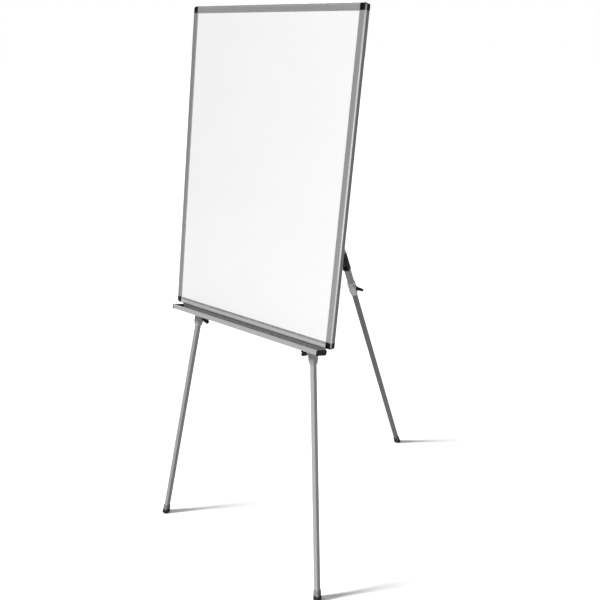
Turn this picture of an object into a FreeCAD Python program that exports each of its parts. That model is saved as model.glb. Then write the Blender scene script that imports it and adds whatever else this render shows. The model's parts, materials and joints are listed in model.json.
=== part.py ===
import FreeCAD
import Part
import math
import os

from FreeCAD import Placement, Rotation, Vector

# A tripod easel: a framed dry-wipe board on two telescopic front legs and a hinged rear leg.
# Millimetres, +Z up, the floor at Z 0, the board's front towards -Y.
# The origin is on the floor, on the plane of symmetry, midway between the front and rear feet.

# Board
BOARD_WIDTH = 700.0
BOARD_HEIGHT = 1000.0
BOARD_TILT = 8.0
BOARD_EDGE_HEIGHT = 846.0
SHEET_THICKNESS = 0.6
CORE_THICKNESS = 9.3
BACKING_THICKNESS = 0.4
PANEL_EDGE_GAP = 0.6
PANEL_FACE_GAP = 0.1

# Frame rails, measured across from the outer edge and back from the front
RAIL_FACE = 22.0
RAIL_BACK_STEP = 4.0
RAIL_BOX = 11.8
RAIL_WALL = 1.4
RAIL_LIP = 2.2
RAIL_EDGE_RADIUS = 7.0
RAIL_BACK_RADIUS = 1.0
RAIL_BACK_LIP_CUT = 2.0
CORNER_RADIUS = 9.0
SPIGOT_LENGTH = 26.0
SPIGOT_GAP = 0.2
CORNER_SCREW_INSET = 13.0

# Pen tray, below the lower rail
TRAY_REACH = 38.0
TRAY_SETBACK = 8.0
TRAY_DROP = 19.9
TRAY_TILT = 8.0
TRAY_WALL = 1.6
TRAY_LIP = 13.0
TRAY_BEAD_RADIUS = 1.4
TRAY_CORNER_RADIUS = 3.0
TRAY_FLANGE = 9.0
TRAY_RIB_HEIGHT = 0.8
TRAY_RIB_WIDTH = 1.2
TRAY_RIBS = (16.0, 25.0, 34.0)
CAP_THICKNESS = 3.0
CAP_MARGIN = 1.2
CAP_LIP_GAP = 0.2
CAP_RADIUS = 4.0
CAP_TONGUE = 7.0
CAP_TONGUE_THICKNESS = 2.0
TRAY_SCREW_INSET = 125.0

# Leg tubes
OUTER_SIDE = 20.0
OUTER_WALL = 1.5
OUTER_RADIUS = 2.5
TUBE_GAP = 0.5
INNER_WALL = 1.2
INNER_RADIUS = 2.0
LEG_SPLAY = 8.2
FRONT_LEG_INSET = 94.6
FRONT_MOUTH_DROP = 71.0
FRONT_OVERLAP = 219.5
FRONT_TOP_GAP = 2.0
PLUG_DEPTH = 14.0
PLUG_FLANGE = 2.5
PLUG_GAP = 0.1
GUIDE_GAP = 0.2
GUIDE_HEAD = 10.0
EDGE_BREAK = 1.0

# Clamp collar at the lower end of an outer tube
COLLAR_LENGTH = 60.0
COLLAR_WALL = 2.1
COLLAR_GAP = 0.1
COLLAR_RADIUS = 3.6
COLLAR_NOSE = 14.0
COLLAR_NOSE_TAPER = 2.0
COLLAR_NOSE_GAP = 0.25
CLAMP_HEIGHT = 32.0
BOSS_WALL = 2.4
BOSS_FRONT_WALL = 1.5
BOSS_RISE = 9.0
BOSS_EDGE = 1.2
RIVET_HEIGHT = 47.0

# Clamp screw, nut, shoe and wing knob, measured out from the tube's axis
STUD_RADIUS = 2.9
STUD_BORE_RADIUS = 3.3
STUD_TIP_RADIUS = 2.2
STUD_TIP_LENGTH = 1.1
SHOE_RADIUS = 5.0
SHOE_THICKNESS = 3.0
SHOE_GAP = 0.1
SHOE_BORE_GAP = 0.2
NUT_SIDE = 10.0
NUT_THICKNESS = 5.0
NUT_BORE_RADIUS = 3.0
NUT_WALL = 1.0
NUT_STANDOFF = 2.2
NUT_GAP = 0.1
KNOB_GAP = 1.0
KNOB_LENGTH = 25.0
KNOB_FLANGE_RADIUS = 8.0
KNOB_FLANGE = 2.4
KNOB_FLANGE_EDGE = 0.6
KNOB_HUB_RADIUS = 6.2
KNOB_HUB_LENGTH = 15.0
KNOB_SPAN = 23.0
KNOB_WING_ROOT = 7.5
KNOB_WING_ROOT_OFFSET = 3.0
KNOB_WING_RADIUS = 5.8
KNOB_WING_THICKNESS = 11.0
KNOB_WING_EDGE = 3.0
KNOB_STUD_DEPTH = 11.0
LEFT_WING_TURN = 8.0
RIGHT_WING_TURN = -6.0
REAR_WING_TURN = 38.0

# Feet
FOOT_LENGTH = 34.0
FOOT_WALL = 2.0
FOOT_FLARE = 1.5
FOOT_TOP_EDGE = 0.8
FOOT_RADIUS = 4.0
FOOT_SOLE = 7.0
FOOT_GAP = 0.05
FOOT_OVERRUN = 14.0
FOOT_GROOVES = 2
FOOT_GROOVE_DROP = 10.0
FOOT_GROOVE_PITCH = 5.5
FOOT_GROOVE_WIDTH = 2.2
FOOT_GROOVE_DEPTH = 0.7

# Head plate, straps and pads
PLATE_THICKNESS = 2.5
PLATE_MARGIN = 10.8
PLATE_HEIGHT = 98.0
PLATE_TOP_GAP = 1.5
PLATE_RADIUS = 12.0
PLATE_SCREW_INSET = 12.0
PLATE_SCREW_SHARE = 0.54
STRAP_THICKNESS = 1.5
STRAP_WIDTH = 10.0
STRAP_FLANGE = 11.0
STRAP_GAP = 0.2
STRAP_END_RADIUS = 3.5
STRAP_SCREW_INSET = 5.7
STRAP_LIFT = 2.1
STRAP_TOP_DROP = 50.0

# Rear leg and its hinge
REAR_OPEN = 32.0
HINGE_DROP = 76.0
HINGE_CENTRE_GAP = 14.0
REAR_TAIL = 124.0
REAR_OVERLAP = 145.0
STOP_GAP = 0.25
BRACKET_THICKNESS = 2.5
BRACKET_FLANGE = 10.3
BRACKET_RADIUS = 4.0
BRACKET_HALF_HEIGHT = 26.0
EAR_RADIUS = 10.0
EAR_ROOT = 17.0
WASHER_THICKNESS = 1.0
WASHER_RADIUS = 9.0
WASHER_GAP = 0.1
PIN_RADIUS = 4.0
PIN_GAP = 0.05
PIN_HEAD_RADIUS = 7.5
PIN_HEAD = 4.0
PIN_HEAD_EDGE = 2.8
PIN_TAIL = 9.0
PIN_NUT_RADIUS = 7.5
PIN_NUT = 6.5
BUSH_WALL = 2.0
SLEEVE_WALL = 1.6
SLEEVE_GAP = 0.05
SLEEVE_LENGTH = 75.0
SLEEVE_EDGE = 0.6
SLEEVE_OVERHANG = 9.0
NIB_WIDTH = 12.0
NIB_HEIGHT = 10.0
NIB_GAP = 0.5
NIB_EDGE = 1.5

# Fasteners
SCREW_RADIUS = 1.75
SCREW_GAP = 0.1
SCREW_HEAD_RADIUS = 3.5
SCREW_HEAD = 2.3
SCREW_HEAD_EDGE = 1.4
SCREW_LENGTH = 8.0
SCREW_RECESS_DEPTH = 1.2
SCREW_RECESS_WIDTH = 0.9
SCREW_RECESS_LENGTH = 3.6
RIVET_RADIUS = 1.7
RIVET_HEAD_RADIUS = 3.1
RIVET_HEAD = 1.3
RIVET_HEAD_EDGE = 1.0
RIVET_TAIL_RADIUS = 2.5

# Values that follow from the driving dimensions
PANEL_THICKNESS = SHEET_THICKNESS + CORE_THICKNESS + BACKING_THICKNESS
SLOT_BOTTOM = RAIL_BOX - RAIL_WALL
SLOT_BACK = RAIL_LIP + PANEL_THICKNESS + PANEL_FACE_GAP
RAIL_DEPTH = SLOT_BACK + RAIL_WALL + RAIL_BACK_STEP
CHAMBER_WIDTH = SLOT_BOTTOM - RAIL_WALL
TRAY_LENGTH = BOARD_WIDTH - 2 * (RAIL_FACE + CAP_THICKNESS)
TRAY_FLOOR = TRAY_REACH + TRAY_SETBACK
TUBE_DEPTH = RAIL_DEPTH + PLATE_THICKNESS + OUTER_SIDE / 2
OUTER_BORE = OUTER_SIDE - 2 * OUTER_WALL
INNER_SIDE = OUTER_BORE - 2 * TUBE_GAP
INNER_BORE = INNER_SIDE - 2 * INNER_WALL
SPLAY_SLOPE = math.tan(math.radians(LEG_SPLAY))
FRONT_LEG_SPREAD = BOARD_WIDTH / 2 - FRONT_LEG_INSET
FRONT_RISE = BOARD_HEIGHT + FRONT_MOUTH_DROP - FRONT_TOP_GAP
FRONT_TUBE_TOP = FRONT_RISE / math.cos(math.radians(LEG_SPLAY)) - PLUG_FLANGE
COLLAR_BORE = OUTER_SIDE + 2 * COLLAR_GAP
COLLAR_SIDE = COLLAR_BORE + 2 * COLLAR_WALL
SHOE_FACE = INNER_SIDE / 2 + SHOE_GAP
SHOE_BACK = SHOE_FACE + SHOE_THICKNESS
NUT_INSET = COLLAR_SIDE / 2 + NUT_STANDOFF
BOSS_WIDTH = NUT_SIDE + 2 * NUT_GAP + 2 * BOSS_WALL
BOSS_END = NUT_INSET + NUT_THICKNESS + NUT_GAP + BOSS_FRONT_WALL
KNOB_BASE = BOSS_END + KNOB_GAP
FOOT_TOP_SIDE = INNER_SIDE + 2 * FOOT_WALL
FOOT_BASE_SIDE = FOOT_TOP_SIDE + 2 * FOOT_FLARE
STRAP_INSIDE = OUTER_SIDE / 2 + STRAP_GAP
STRAP_OUTSIDE = STRAP_INSIDE + STRAP_THICKNESS
STRAP_REACH = STRAP_OUTSIDE + STRAP_FLANGE
STRAP_SCREW_SPREAD = STRAP_REACH - STRAP_SCREW_INSET
STRAP_BOTTOM_HEIGHT = RAIL_BOX / 2 + STRAP_LIFT
STRAP_TOP_HEIGHT = BOARD_HEIGHT - STRAP_TOP_DROP
PLATE_HALF_WIDTH = FRONT_LEG_SPREAD - STRAP_TOP_HEIGHT * SPLAY_SLOPE + STRAP_REACH + PLATE_MARGIN
HINGE_HEIGHT = BOARD_HEIGHT - HINGE_DROP
PLATE_SCREW_MIDDLE = PLATE_SCREW_SHARE * (FRONT_LEG_SPREAD - BOARD_HEIGHT * SPLAY_SLOPE)
HINGE_DEPTH = RAIL_DEPTH + PLATE_THICKNESS + BRACKET_THICKNESS + HINGE_CENTRE_GAP
EAR_INSIDE = OUTER_SIDE / 2 + WASHER_THICKNESS + 2 * WASHER_GAP
EAR_OUTSIDE = EAR_INSIDE + BRACKET_THICKNESS
BRACKET_HALF_WIDTH = EAR_OUTSIDE + BRACKET_FLANGE
BUSH_RADIUS = PIN_RADIUS + BUSH_WALL
LIFT_TO_STOP = HINGE_CENTRE_GAP - STOP_GAP - OUTER_SIDE / 2 * math.cos(math.radians(REAR_OPEN))
REAR_DROP = HINGE_HEIGHT + REAR_TAIL
REAR_TOP = REAR_DROP + LIFT_TO_STOP / math.sin(math.radians(REAR_OPEN)) + EDGE_BREAK
NIB_CENTRE = REAR_TAIL + RAIL_BOX / 2

X_AXIS = Vector(1, 0, 0)
Y_AXIS = Vector(0, 1, 0)
Z_AXIS = Vector(0, 0, 1)


# Shape helpers

def box(x0, x1, y0, y1, z0, z1):
    return Part.makeBox(x1 - x0, y1 - y0, z1 - z0, Vector(x0, y0, z0))


def rod(radius, start, axis, length):
    return Part.makeCylinder(radius, length, start, axis)


def moved(shape, placement):
    result = shape.copy()
    result.Placement = placement.multiply(result.Placement)
    return result


def turned(shape, axis, degrees):
    return moved(shape, Placement(Vector(), Rotation(axis, degrees)))


def shifted(shape, x, y, z):
    return moved(shape, Placement(Vector(x, y, z), Rotation()))


def line(a, b):
    return Part.LineSegment(a, b).toShape()


def arc(a, middle, b):
    return Part.Arc(a, middle, b).toShape()


def corner_arc(centre, radius, start, end, plane):
    """An arc from one angle to another, in degrees, in the plane that plane() maps to."""
    points = []
    for degrees in (start, (start + end) / 2, end):
        angle = math.radians(degrees)
        points.append(plane(centre[0] + radius * math.cos(angle), centre[1] + radius * math.sin(angle)))
    return arc(*points)


def rounded_rectangle(a0, a1, b0, b1, radius, plane):
    """A closed outline with four equal round corners."""
    centres = ((a1 - radius, b0 + radius), (a1 - radius, b1 - radius),
               (a0 + radius, b1 - radius), (a0 + radius, b0 + radius))
    arcs = []
    for index, centre in enumerate(centres):
        start = -90 + 90 * index
        arcs.append(corner_arc(centre, radius, start, start + 90, plane))
    edges = []
    for index, edge in enumerate(arcs):
        following = arcs[(index + 1) % 4]
        edges.append(edge)
        edges.append(line(edge.lastVertex().Point, following.firstVertex().Point))
    return Part.Wire(edges)


def square_wire(side, radius, z):
    half = side / 2
    return rounded_rectangle(-half, half, -half, half, radius, lambda a, b: Vector(a, b, z))


def square_bar(side, radius, z0, z1):
    return Part.Face(square_wire(side, radius, z0)).extrude(Vector(0, 0, z1 - z0))


def square_tube(side, wall, radius, z0, z1):
    return square_bar(side, radius, z0, z1).cut(square_bar(side - 2 * wall, radius - wall, z0, z1))


def broken_edges(shape, size, chosen):
    """The shape with a small chamfer on each edge that chosen() accepts."""
    return shape.makeChamfer(size, [edge for edge in shape.Edges if chosen(edge)])


def at_level(z):
    return lambda edge: all(abs(vertex.Z - z) < 1e-4 for vertex in edge.Vertexes)


def screw(length=SCREW_LENGTH):
    """A pan-head screw with a cross recess; the head stands on Z 0 and the shank runs down."""
    head = rod(SCREW_HEAD_RADIUS, Vector(), Z_AXIS, SCREW_HEAD)
    head = head.makeFillet(SCREW_HEAD_EDGE, [edge for edge in head.Edges if at_level(SCREW_HEAD)(edge)])
    shank = rod(SCREW_RADIUS, Vector(0, 0, -length), Z_AXIS, length)
    half = SCREW_RECESS_WIDTH / 2
    reach = SCREW_RECESS_LENGTH / 2
    floor = SCREW_HEAD - SCREW_RECESS_DEPTH
    recess = box(-reach, reach, -half, half, floor, SCREW_HEAD).fuse(
        box(-half, half, -reach, reach, floor, SCREW_HEAD))
    return head.fuse(shank).cut(recess).removeSplitter()


def screw_hole(length=SCREW_LENGTH):
    return rod(SCREW_RADIUS + SCREW_GAP, Vector(0, 0, -length - 1), Z_AXIS, length + 2)


def rivet(length, tail):
    """A dome-head rivet on Z 0 that runs down through length, with a set tail below."""
    head = rod(RIVET_HEAD_RADIUS, Vector(), Z_AXIS, RIVET_HEAD)
    head = head.makeFillet(RIVET_HEAD_EDGE, [edge for edge in head.Edges if at_level(RIVET_HEAD)(edge)])
    result = head.fuse(rod(RIVET_RADIUS, Vector(0, 0, -length), Z_AXIS, length))
    if tail:
        result = result.fuse(rod(RIVET_TAIL_RADIUS, Vector(0, 0, -length - RIVET_HEAD), Z_AXIS, RIVET_HEAD))
    return result.removeSplitter()


def rivet_hole(length):
    return rod(RIVET_RADIUS, Vector(0, 0, -length - 1), Z_AXIS, length + 2)


# Board parts: local X across, Y back from the front plane, Z up along the board

def rail_outline(plane):
    """The rail's outer outline: rounded front edge, glazing lip, panel slot and hollow box."""
    radius = RAIL_EDGE_RADIUS
    back = RAIL_BACK_RADIUS
    nose = RAIL_LIP / 2
    lip_end = RAIL_FACE - RAIL_BACK_LIP_CUT
    lip_back = SLOT_BACK + RAIL_WALL
    corners = [plane(RAIL_FACE - nose, RAIL_LIP), plane(SLOT_BOTTOM, RAIL_LIP), plane(SLOT_BOTTOM, SLOT_BACK),
               plane(lip_end, SLOT_BACK), plane(lip_end, lip_back), plane(RAIL_BOX, lip_back),
               plane(RAIL_BOX, RAIL_DEPTH), plane(back, RAIL_DEPTH)]
    edges = [corner_arc((radius, radius), radius, 180, 270, plane),
             line(plane(radius, 0), plane(RAIL_FACE - nose, 0)),
             corner_arc((RAIL_FACE - nose, nose), nose, -90, 90, plane)]
    for start, end in zip(corners, corners[1:]):
        edges.append(line(start, end))
    edges.append(corner_arc((back, RAIL_DEPTH - back), back, 90, 180, plane))
    edges.append(line(plane(0, RAIL_DEPTH - back), plane(0, radius)))
    return Part.Wire(edges)


def chamber_outline(plane, gap):
    """The hollow inside a rail's box, or a spigot that fills it less a gap."""
    low = RAIL_WALL + gap
    high = RAIL_WALL + CHAMBER_WIDTH - gap
    back = RAIL_DEPTH - RAIL_WALL - gap
    radius = RAIL_EDGE_RADIUS - low
    centre = low + radius
    edges = [corner_arc((centre, centre), radius, 180, 270, plane),
             line(plane(centre, low), plane(high, low)),
             line(plane(high, low), plane(high, back)),
             line(plane(high, back), plane(low, back)),
             line(plane(low, back), plane(low, centre))]
    return Part.Wire(edges)


def rail(length):
    """A rail along +Z with its outer edge on X 0."""
    def plane(across, back):
        return Vector(across, back, 0)
    along = Vector(0, 0, length)
    outer = Part.Face(rail_outline(plane)).extrude(along)
    return outer.cut(Part.Face(chamber_outline(plane, 0)).extrude(along))


def corner_screw_spots():
    """Local positions of a corner's two screws, on the back of its spigots."""
    middle = RAIL_WALL + CHAMBER_WIDTH / 2
    reach = RAIL_FACE + CORNER_SCREW_INSET
    return (Vector(middle, RAIL_DEPTH, reach), Vector(reach, RAIL_DEPTH, middle))


def facing_back(shape, spot):
    """A fastener modelled along +Z, set with its head on the back at spot."""
    return moved(shape, Placement(spot, Rotation(X_AXIS, -90)))


def frame_corner():
    """A corner block with two spigots and a pocket for the panel's corner."""
    face = RAIL_FACE
    block = box(0, face, 0, RAIL_DEPTH, 0, face)
    upright = [edge for edge in block.Edges
               if all(abs(v.X) < 1e-6 and abs(v.Z) < 1e-6 for v in edge.Vertexes)]
    block = block.makeFillet(CORNER_RADIUS, upright)
    front = []
    for edge in block.Edges:
        box_of = edge.BoundBox
        outer = box_of.XMin < 1e-3 or box_of.ZMin < 1e-3
        inner = box_of.XMin > face - 1e-3 or box_of.ZMin > face - 1e-3
        if box_of.YMax < 1e-3 and outer and not inner:
            front.append(edge)
    block = block.makeFillet(RAIL_EDGE_RADIUS, front)
    lip_back = SLOT_BACK + RAIL_WALL
    block = block.cut(box(SLOT_BOTTOM, face, RAIL_LIP, SLOT_BACK, SLOT_BOTTOM, face))
    block = block.cut(box(RAIL_BOX, face, lip_back, RAIL_DEPTH, RAIL_BOX, face))
    lip_end = face - RAIL_BACK_LIP_CUT
    block = block.cut(box(lip_end, face, SLOT_BACK, RAIL_DEPTH, lip_end, face))
    up = Part.Face(chamber_outline(lambda a, b: Vector(a, b, face), SPIGOT_GAP)).extrude(
        Vector(0, 0, SPIGOT_LENGTH))
    along = Part.Face(chamber_outline(lambda a, b: Vector(face, b, a), SPIGOT_GAP)).extrude(
        Vector(SPIGOT_LENGTH, 0, 0))
    block = block.fuse([up, along])
    for spot in corner_screw_spots():
        block = block.cut(facing_back(screw_hole(), spot))
    return block.removeSplitter()


def panel_layer(front, thickness):
    half = BOARD_WIDTH / 2 - SLOT_BOTTOM - PANEL_EDGE_GAP
    low = SLOT_BOTTOM + PANEL_EDGE_GAP
    return box(-half, half, front, front + thickness, low, BOARD_HEIGHT - low)


def tray_plane(x):
    return lambda depth, height: Vector(x, depth, height)


def tray_floor(x):
    """Tray coordinates at x: forward along the sloping floor from its back edge, and up from it."""
    slope = math.radians(TRAY_TILT)

    def place(forward, up):
        depth = TRAY_SETBACK - forward * math.cos(slope) + up * math.sin(slope)
        height = forward * math.sin(slope) + up * math.cos(slope) - TRAY_DROP
        return Vector(x, depth, height)
    return place


def tray_strip(floor, back, front, low, high, along):
    """A bar along the tray, between two distances forward and two heights over its floor."""
    corners = [floor(back, low), floor(front, low), floor(front, high), floor(back, high), floor(back, low)]
    return Part.Face(Part.makePolygon(corners)).extrude(along)


def pen_tray():
    """An extruded tray: screw flange, back wall, sloping ribbed floor and a beaded front lip."""
    plane = tray_plane(-TRAY_LENGTH / 2)
    floor = tray_floor(-TRAY_LENGTH / 2)
    slope = math.radians(TRAY_TILT)
    heel = TRAY_WALL * (1 + math.sin(slope)) / math.cos(slope)
    radius = TRAY_CORNER_RADIUS
    centre = (TRAY_FLOOR - radius, radius - TRAY_WALL)
    inside = TRAY_FLOOR - TRAY_WALL
    flange_end = TRAY_SETBACK + TRAY_FLANGE
    points = [floor(centre[0], -TRAY_WALL), floor(-heel, -TRAY_WALL),
              plane(TRAY_SETBACK + TRAY_WALL, -TRAY_WALL), plane(flange_end, -TRAY_WALL),
              plane(flange_end, 0), plane(TRAY_SETBACK, 0), floor(0, 0), floor(centre[0], 0)]
    edges = []
    for start, end in zip(points, points[1:]):
        edges.append(line(start, end))
    edges.append(corner_arc(centre, radius - TRAY_WALL, -90, 0, floor))
    edges.append(line(floor(inside, centre[1]), floor(inside, TRAY_LIP)))
    edges.append(line(floor(inside, TRAY_LIP), floor(TRAY_FLOOR, TRAY_LIP)))
    edges.append(line(floor(TRAY_FLOOR, TRAY_LIP), floor(TRAY_FLOOR, centre[1])))
    edges.append(corner_arc(centre, radius, 0, -90, floor))
    along = Vector(TRAY_LENGTH, 0, 0)
    tray = Part.Face(Part.Wire(edges)).extrude(along)
    additions = [rod(TRAY_BEAD_RADIUS, floor(TRAY_FLOOR - TRAY_WALL / 2, TRAY_LIP), X_AXIS, TRAY_LENGTH)]
    half = TRAY_RIB_WIDTH / 2
    for middle in TRAY_RIBS:
        additions.append(tray_strip(floor, middle - half, middle + half, -TRAY_WALL / 2, TRAY_RIB_HEIGHT,
                                    along))
    tray = tray.fuse(additions)
    for spot in tray_screw_spots():
        tray = tray.cut(facing_down(screw_hole(), spot))
    return tray.removeSplitter()


def tray_screw_spots():
    depth = TRAY_SETBACK + (TRAY_WALL + TRAY_FLANGE) / 2
    spread = TRAY_LENGTH / 2 - TRAY_SCREW_INSET
    return [Vector(x, depth, -TRAY_WALL) for x in (-spread, 0, spread)]


def facing_down(shape, spot):
    """A fastener modelled along +Z, set with its head below spot."""
    return moved(shape, Placement(spot, Rotation(X_AXIS, 180)))


def tray_cap(side):
    """A moulded end cap with a tongue that lies on the tray's floor."""
    start = side * TRAY_LENGTH / 2
    floor = tray_floor(start)
    under = -TRAY_WALL - CAP_MARGIN
    top = TRAY_LIP + TRAY_BEAD_RADIUS + CAP_LIP_GAP
    wire = rounded_rectangle(under, TRAY_FLOOR + CAP_MARGIN, under, top, CAP_RADIUS, floor)
    cap = Part.Face(wire).extrude(Vector(side * CAP_THICKNESS, 0, 0))
    outer = start + side * CAP_THICKNESS
    cap = cap.makeChamfer(EDGE_BREAK, [edge for edge in cap.Edges
                                       if all(abs(v.X - outer) < 1e-4 for v in edge.Vertexes)])
    tongue = tray_strip(floor, TRAY_CORNER_RADIUS, TRAY_FLOOR - TRAY_CORNER_RADIUS, TRAY_RIB_HEIGHT,
                        TRAY_RIB_HEIGHT + CAP_TONGUE_THICKNESS, Vector(-side * CAP_TONGUE, 0, 0))
    return cap.fuse(tongue).removeSplitter()


def strap():
    """A pressed strap over a tube along Z; its flanges lie on the tube's front plane."""
    base = -OUTER_SIDE / 2
    low = -STRAP_WIDTH / 2
    foot = base + STRAP_THICKNESS
    bend = OUTER_RADIUS + STRAP_GAP
    result = square_strip(STRAP_OUTSIDE, bend + STRAP_THICKNESS, foot, low).cut(
        square_strip(STRAP_INSIDE, bend, base - 1, low))
    for side in (-1, 1):
        ends = sorted((side * STRAP_INSIDE, side * STRAP_REACH))
        flange = box(ends[0], ends[1], base, foot, low, -low)
        flange = flange.makeFillet(STRAP_END_RADIUS, [edge for edge in flange.Edges if is_strap_end(edge)])
        hole = rod(SCREW_RADIUS + SCREW_GAP, Vector(side * STRAP_SCREW_SPREAD, base - 1, 0), Y_AXIS,
                   STRAP_THICKNESS + 2)
        result = result.fuse(flange).cut(hole)
    return result.removeSplitter()


def is_strap_end(edge):
    """True for a flange's two outer corners, which run through the sheet."""
    points = [vertex.Point for vertex in edge.Vertexes]
    at_end = all(abs(abs(point.x) - STRAP_REACH) < 1e-4 for point in points)
    return at_end and edge.BoundBox.ZLength < 1e-4


def square_strip(half, radius, base, low):
    """A block on Y base with two round back corners, for the strap's bow."""
    wire = rounded_rectangle(-half, half, -half - 2 * radius, half, radius, lambda a, b: Vector(a, b, low))
    whole = Part.Face(wire).extrude(Vector(0, 0, STRAP_WIDTH))
    return whole.common(box(-half, half, base, half, low, low + STRAP_WIDTH))


def head_plate():
    """The plate behind the top rail that carries the front tubes and the rear hinge."""
    top = BOARD_HEIGHT - PLATE_TOP_GAP
    wire = rounded_rectangle(-PLATE_HALF_WIDTH, PLATE_HALF_WIDTH, top - PLATE_HEIGHT, top, PLATE_RADIUS,
                             lambda a, b: Vector(a, RAIL_DEPTH, b))
    return Part.Face(wire).extrude(Vector(0, PLATE_THICKNESS, 0))


def plate_screw_spots():
    height = BOARD_HEIGHT - RAIL_BOX / 2
    outer = PLATE_HALF_WIDTH - PLATE_SCREW_INSET
    spots = (-outer, -PLATE_SCREW_MIDDLE, PLATE_SCREW_MIDDLE, outer)
    return [Vector(x, RAIL_DEPTH + PLATE_THICKNESS, height) for x in spots]


def hinge_bracket():
    """A U bracket on the head plate with two round ears for the hinge bolt."""
    base = RAIL_DEPTH + PLATE_THICKNESS
    face = base + BRACKET_THICKNESS
    plate = box(-BRACKET_HALF_WIDTH, BRACKET_HALF_WIDTH, base, face,
                HINGE_HEIGHT - BRACKET_HALF_HEIGHT, HINGE_HEIGHT + BRACKET_HALF_HEIGHT)
    corners = [edge for edge in plate.Edges
               if edge.BoundBox.XLength < 1e-6 and edge.BoundBox.ZLength < 1e-6]
    bracket = plate.makeFillet(BRACKET_RADIUS, corners)
    for side in (-1, 1):
        start = min(side * EAR_INSIDE, side * EAR_OUTSIDE)
        bracket = bracket.fuse(bracket_ear(start, face))
    hole_start = Vector(-BRACKET_HALF_WIDTH, HINGE_DEPTH, HINGE_HEIGHT)
    bracket = bracket.cut(rod(PIN_RADIUS + PIN_GAP, hole_start, X_AXIS, 2 * BRACKET_HALF_WIDTH))
    for spot in bracket_rivet_spots():
        bracket = bracket.cut(facing_back(rivet_hole(BRACKET_THICKNESS), spot))
    return bracket.removeSplitter()


def bracket_ear(start, face):
    """One ear: a wide root on the bracket's face, narrowing to a round end about the bolt."""
    distance = HINGE_DEPTH - face
    lean = math.atan2(EAR_ROOT - EAR_RADIUS, distance)
    rise = EAR_RADIUS * math.cos(lean)
    run = EAR_RADIUS * math.sin(lean)

    def plane(depth, height):
        return Vector(start, depth, HINGE_HEIGHT + height)
    low = plane(HINGE_DEPTH + run, -rise)
    high = plane(HINGE_DEPTH + run, rise)
    edges = [line(plane(face, -EAR_ROOT), low),
             arc(low, plane(HINGE_DEPTH + EAR_RADIUS, 0), high),
             line(high, plane(face, EAR_ROOT)),
             line(plane(face, EAR_ROOT), plane(face, -EAR_ROOT))]
    return Part.Face(Part.Wire(edges)).extrude(Vector(BRACKET_THICKNESS, 0, 0))


def bracket_rivet_spots():
    x = (EAR_OUTSIDE + BRACKET_HALF_WIDTH) / 2
    z = BRACKET_HALF_HEIGHT - RIVET_HEAD_RADIUS * 2
    depth = RAIL_DEPTH + PLATE_THICKNESS + BRACKET_THICKNESS
    return [Vector(sx * x, depth, HINGE_HEIGHT + sz * z) for sx in (-1, 1) for sz in (-1, 1)]


def hinge_bolt():
    """The bolt through both ears, with a domed head on +X."""
    shank = rod(PIN_RADIUS, Vector(-EAR_OUTSIDE - PIN_TAIL, 0, 0), X_AXIS, 2 * EAR_OUTSIDE + PIN_TAIL)
    head = rod(PIN_HEAD_RADIUS, Vector(EAR_OUTSIDE, 0, 0), X_AXIS, PIN_HEAD)
    rim = EAR_OUTSIDE + PIN_HEAD
    head = head.makeFillet(PIN_HEAD_EDGE, [edge for edge in head.Edges
                                            if all(abs(v.X - rim) < 1e-4 for v in edge.Vertexes)])
    return shifted(shank.fuse(head).removeSplitter(), 0, HINGE_DEPTH, HINGE_HEIGHT)


def hinge_nut():
    """A hexagonal lock nut on the bolt's tail."""
    points = []
    for index in range(7):
        angle = math.radians(60 * index)
        point = Vector(0, math.cos(angle), math.sin(angle)) * PIN_NUT_RADIUS
        points.append(point - X_AXIS * EAR_OUTSIDE)
    nut = Part.Face(Part.makePolygon(points)).extrude(Vector(-PIN_NUT, 0, 0))
    nut = nut.cut(rod(PIN_RADIUS, Vector(-EAR_OUTSIDE - PIN_NUT, 0, 0), X_AXIS, PIN_NUT))
    return shifted(nut, 0, HINGE_DEPTH, HINGE_HEIGHT)


def hinge_washers():
    washers = []
    for side in (-1, 1):
        start = min(side * (OUTER_SIDE / 2 + WASHER_GAP), side * (EAR_INSIDE - WASHER_GAP))
        ring = rod(WASHER_RADIUS, Vector(start, 0, 0), X_AXIS, WASHER_THICKNESS).cut(
            rod(PIN_RADIUS, Vector(start, 0, 0), X_AXIS, WASHER_THICKNESS))
        washers.append(shifted(ring, 0, HINGE_DEPTH, HINGE_HEIGHT))
    return washers


# Leg parts: local Z up the leg from the collar's mouth, the clamp on +X

def outer_tube(top):
    tube = square_tube(OUTER_SIDE, OUTER_WALL, OUTER_RADIUS, COLLAR_NOSE, top)
    tube = tube.cut(rod(SHOE_RADIUS + SHOE_BORE_GAP, Vector(0, 0, CLAMP_HEIGHT), X_AXIS, OUTER_SIDE))
    return tube.cut(collar_rivet_hole())


def collar_rivet_place():
    return Placement(Vector(-COLLAR_SIDE / 2, 0, RIVET_HEIGHT), Rotation(Y_AXIS, -90))


def collar_rivet_length():
    return COLLAR_SIDE / 2 - OUTER_BORE / 2


def collar_rivet():
    return moved(rivet(collar_rivet_length(), False), collar_rivet_place())


def collar_rivet_hole():
    return moved(rivet_hole(collar_rivet_length()), collar_rivet_place())


def tube_plug(top):
    """A moulded plug with a flange that closes the top of an outer tube."""
    body = square_bar(OUTER_BORE - 2 * PLUG_GAP, OUTER_RADIUS - OUTER_WALL, top - PLUG_DEPTH, top)
    flange = square_bar(OUTER_SIDE, OUTER_RADIUS, top, top + PLUG_FLANGE)
    flange = broken_edges(flange, EDGE_BREAK, at_level(top + PLUG_FLANGE))
    return body.fuse(flange).removeSplitter()


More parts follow.
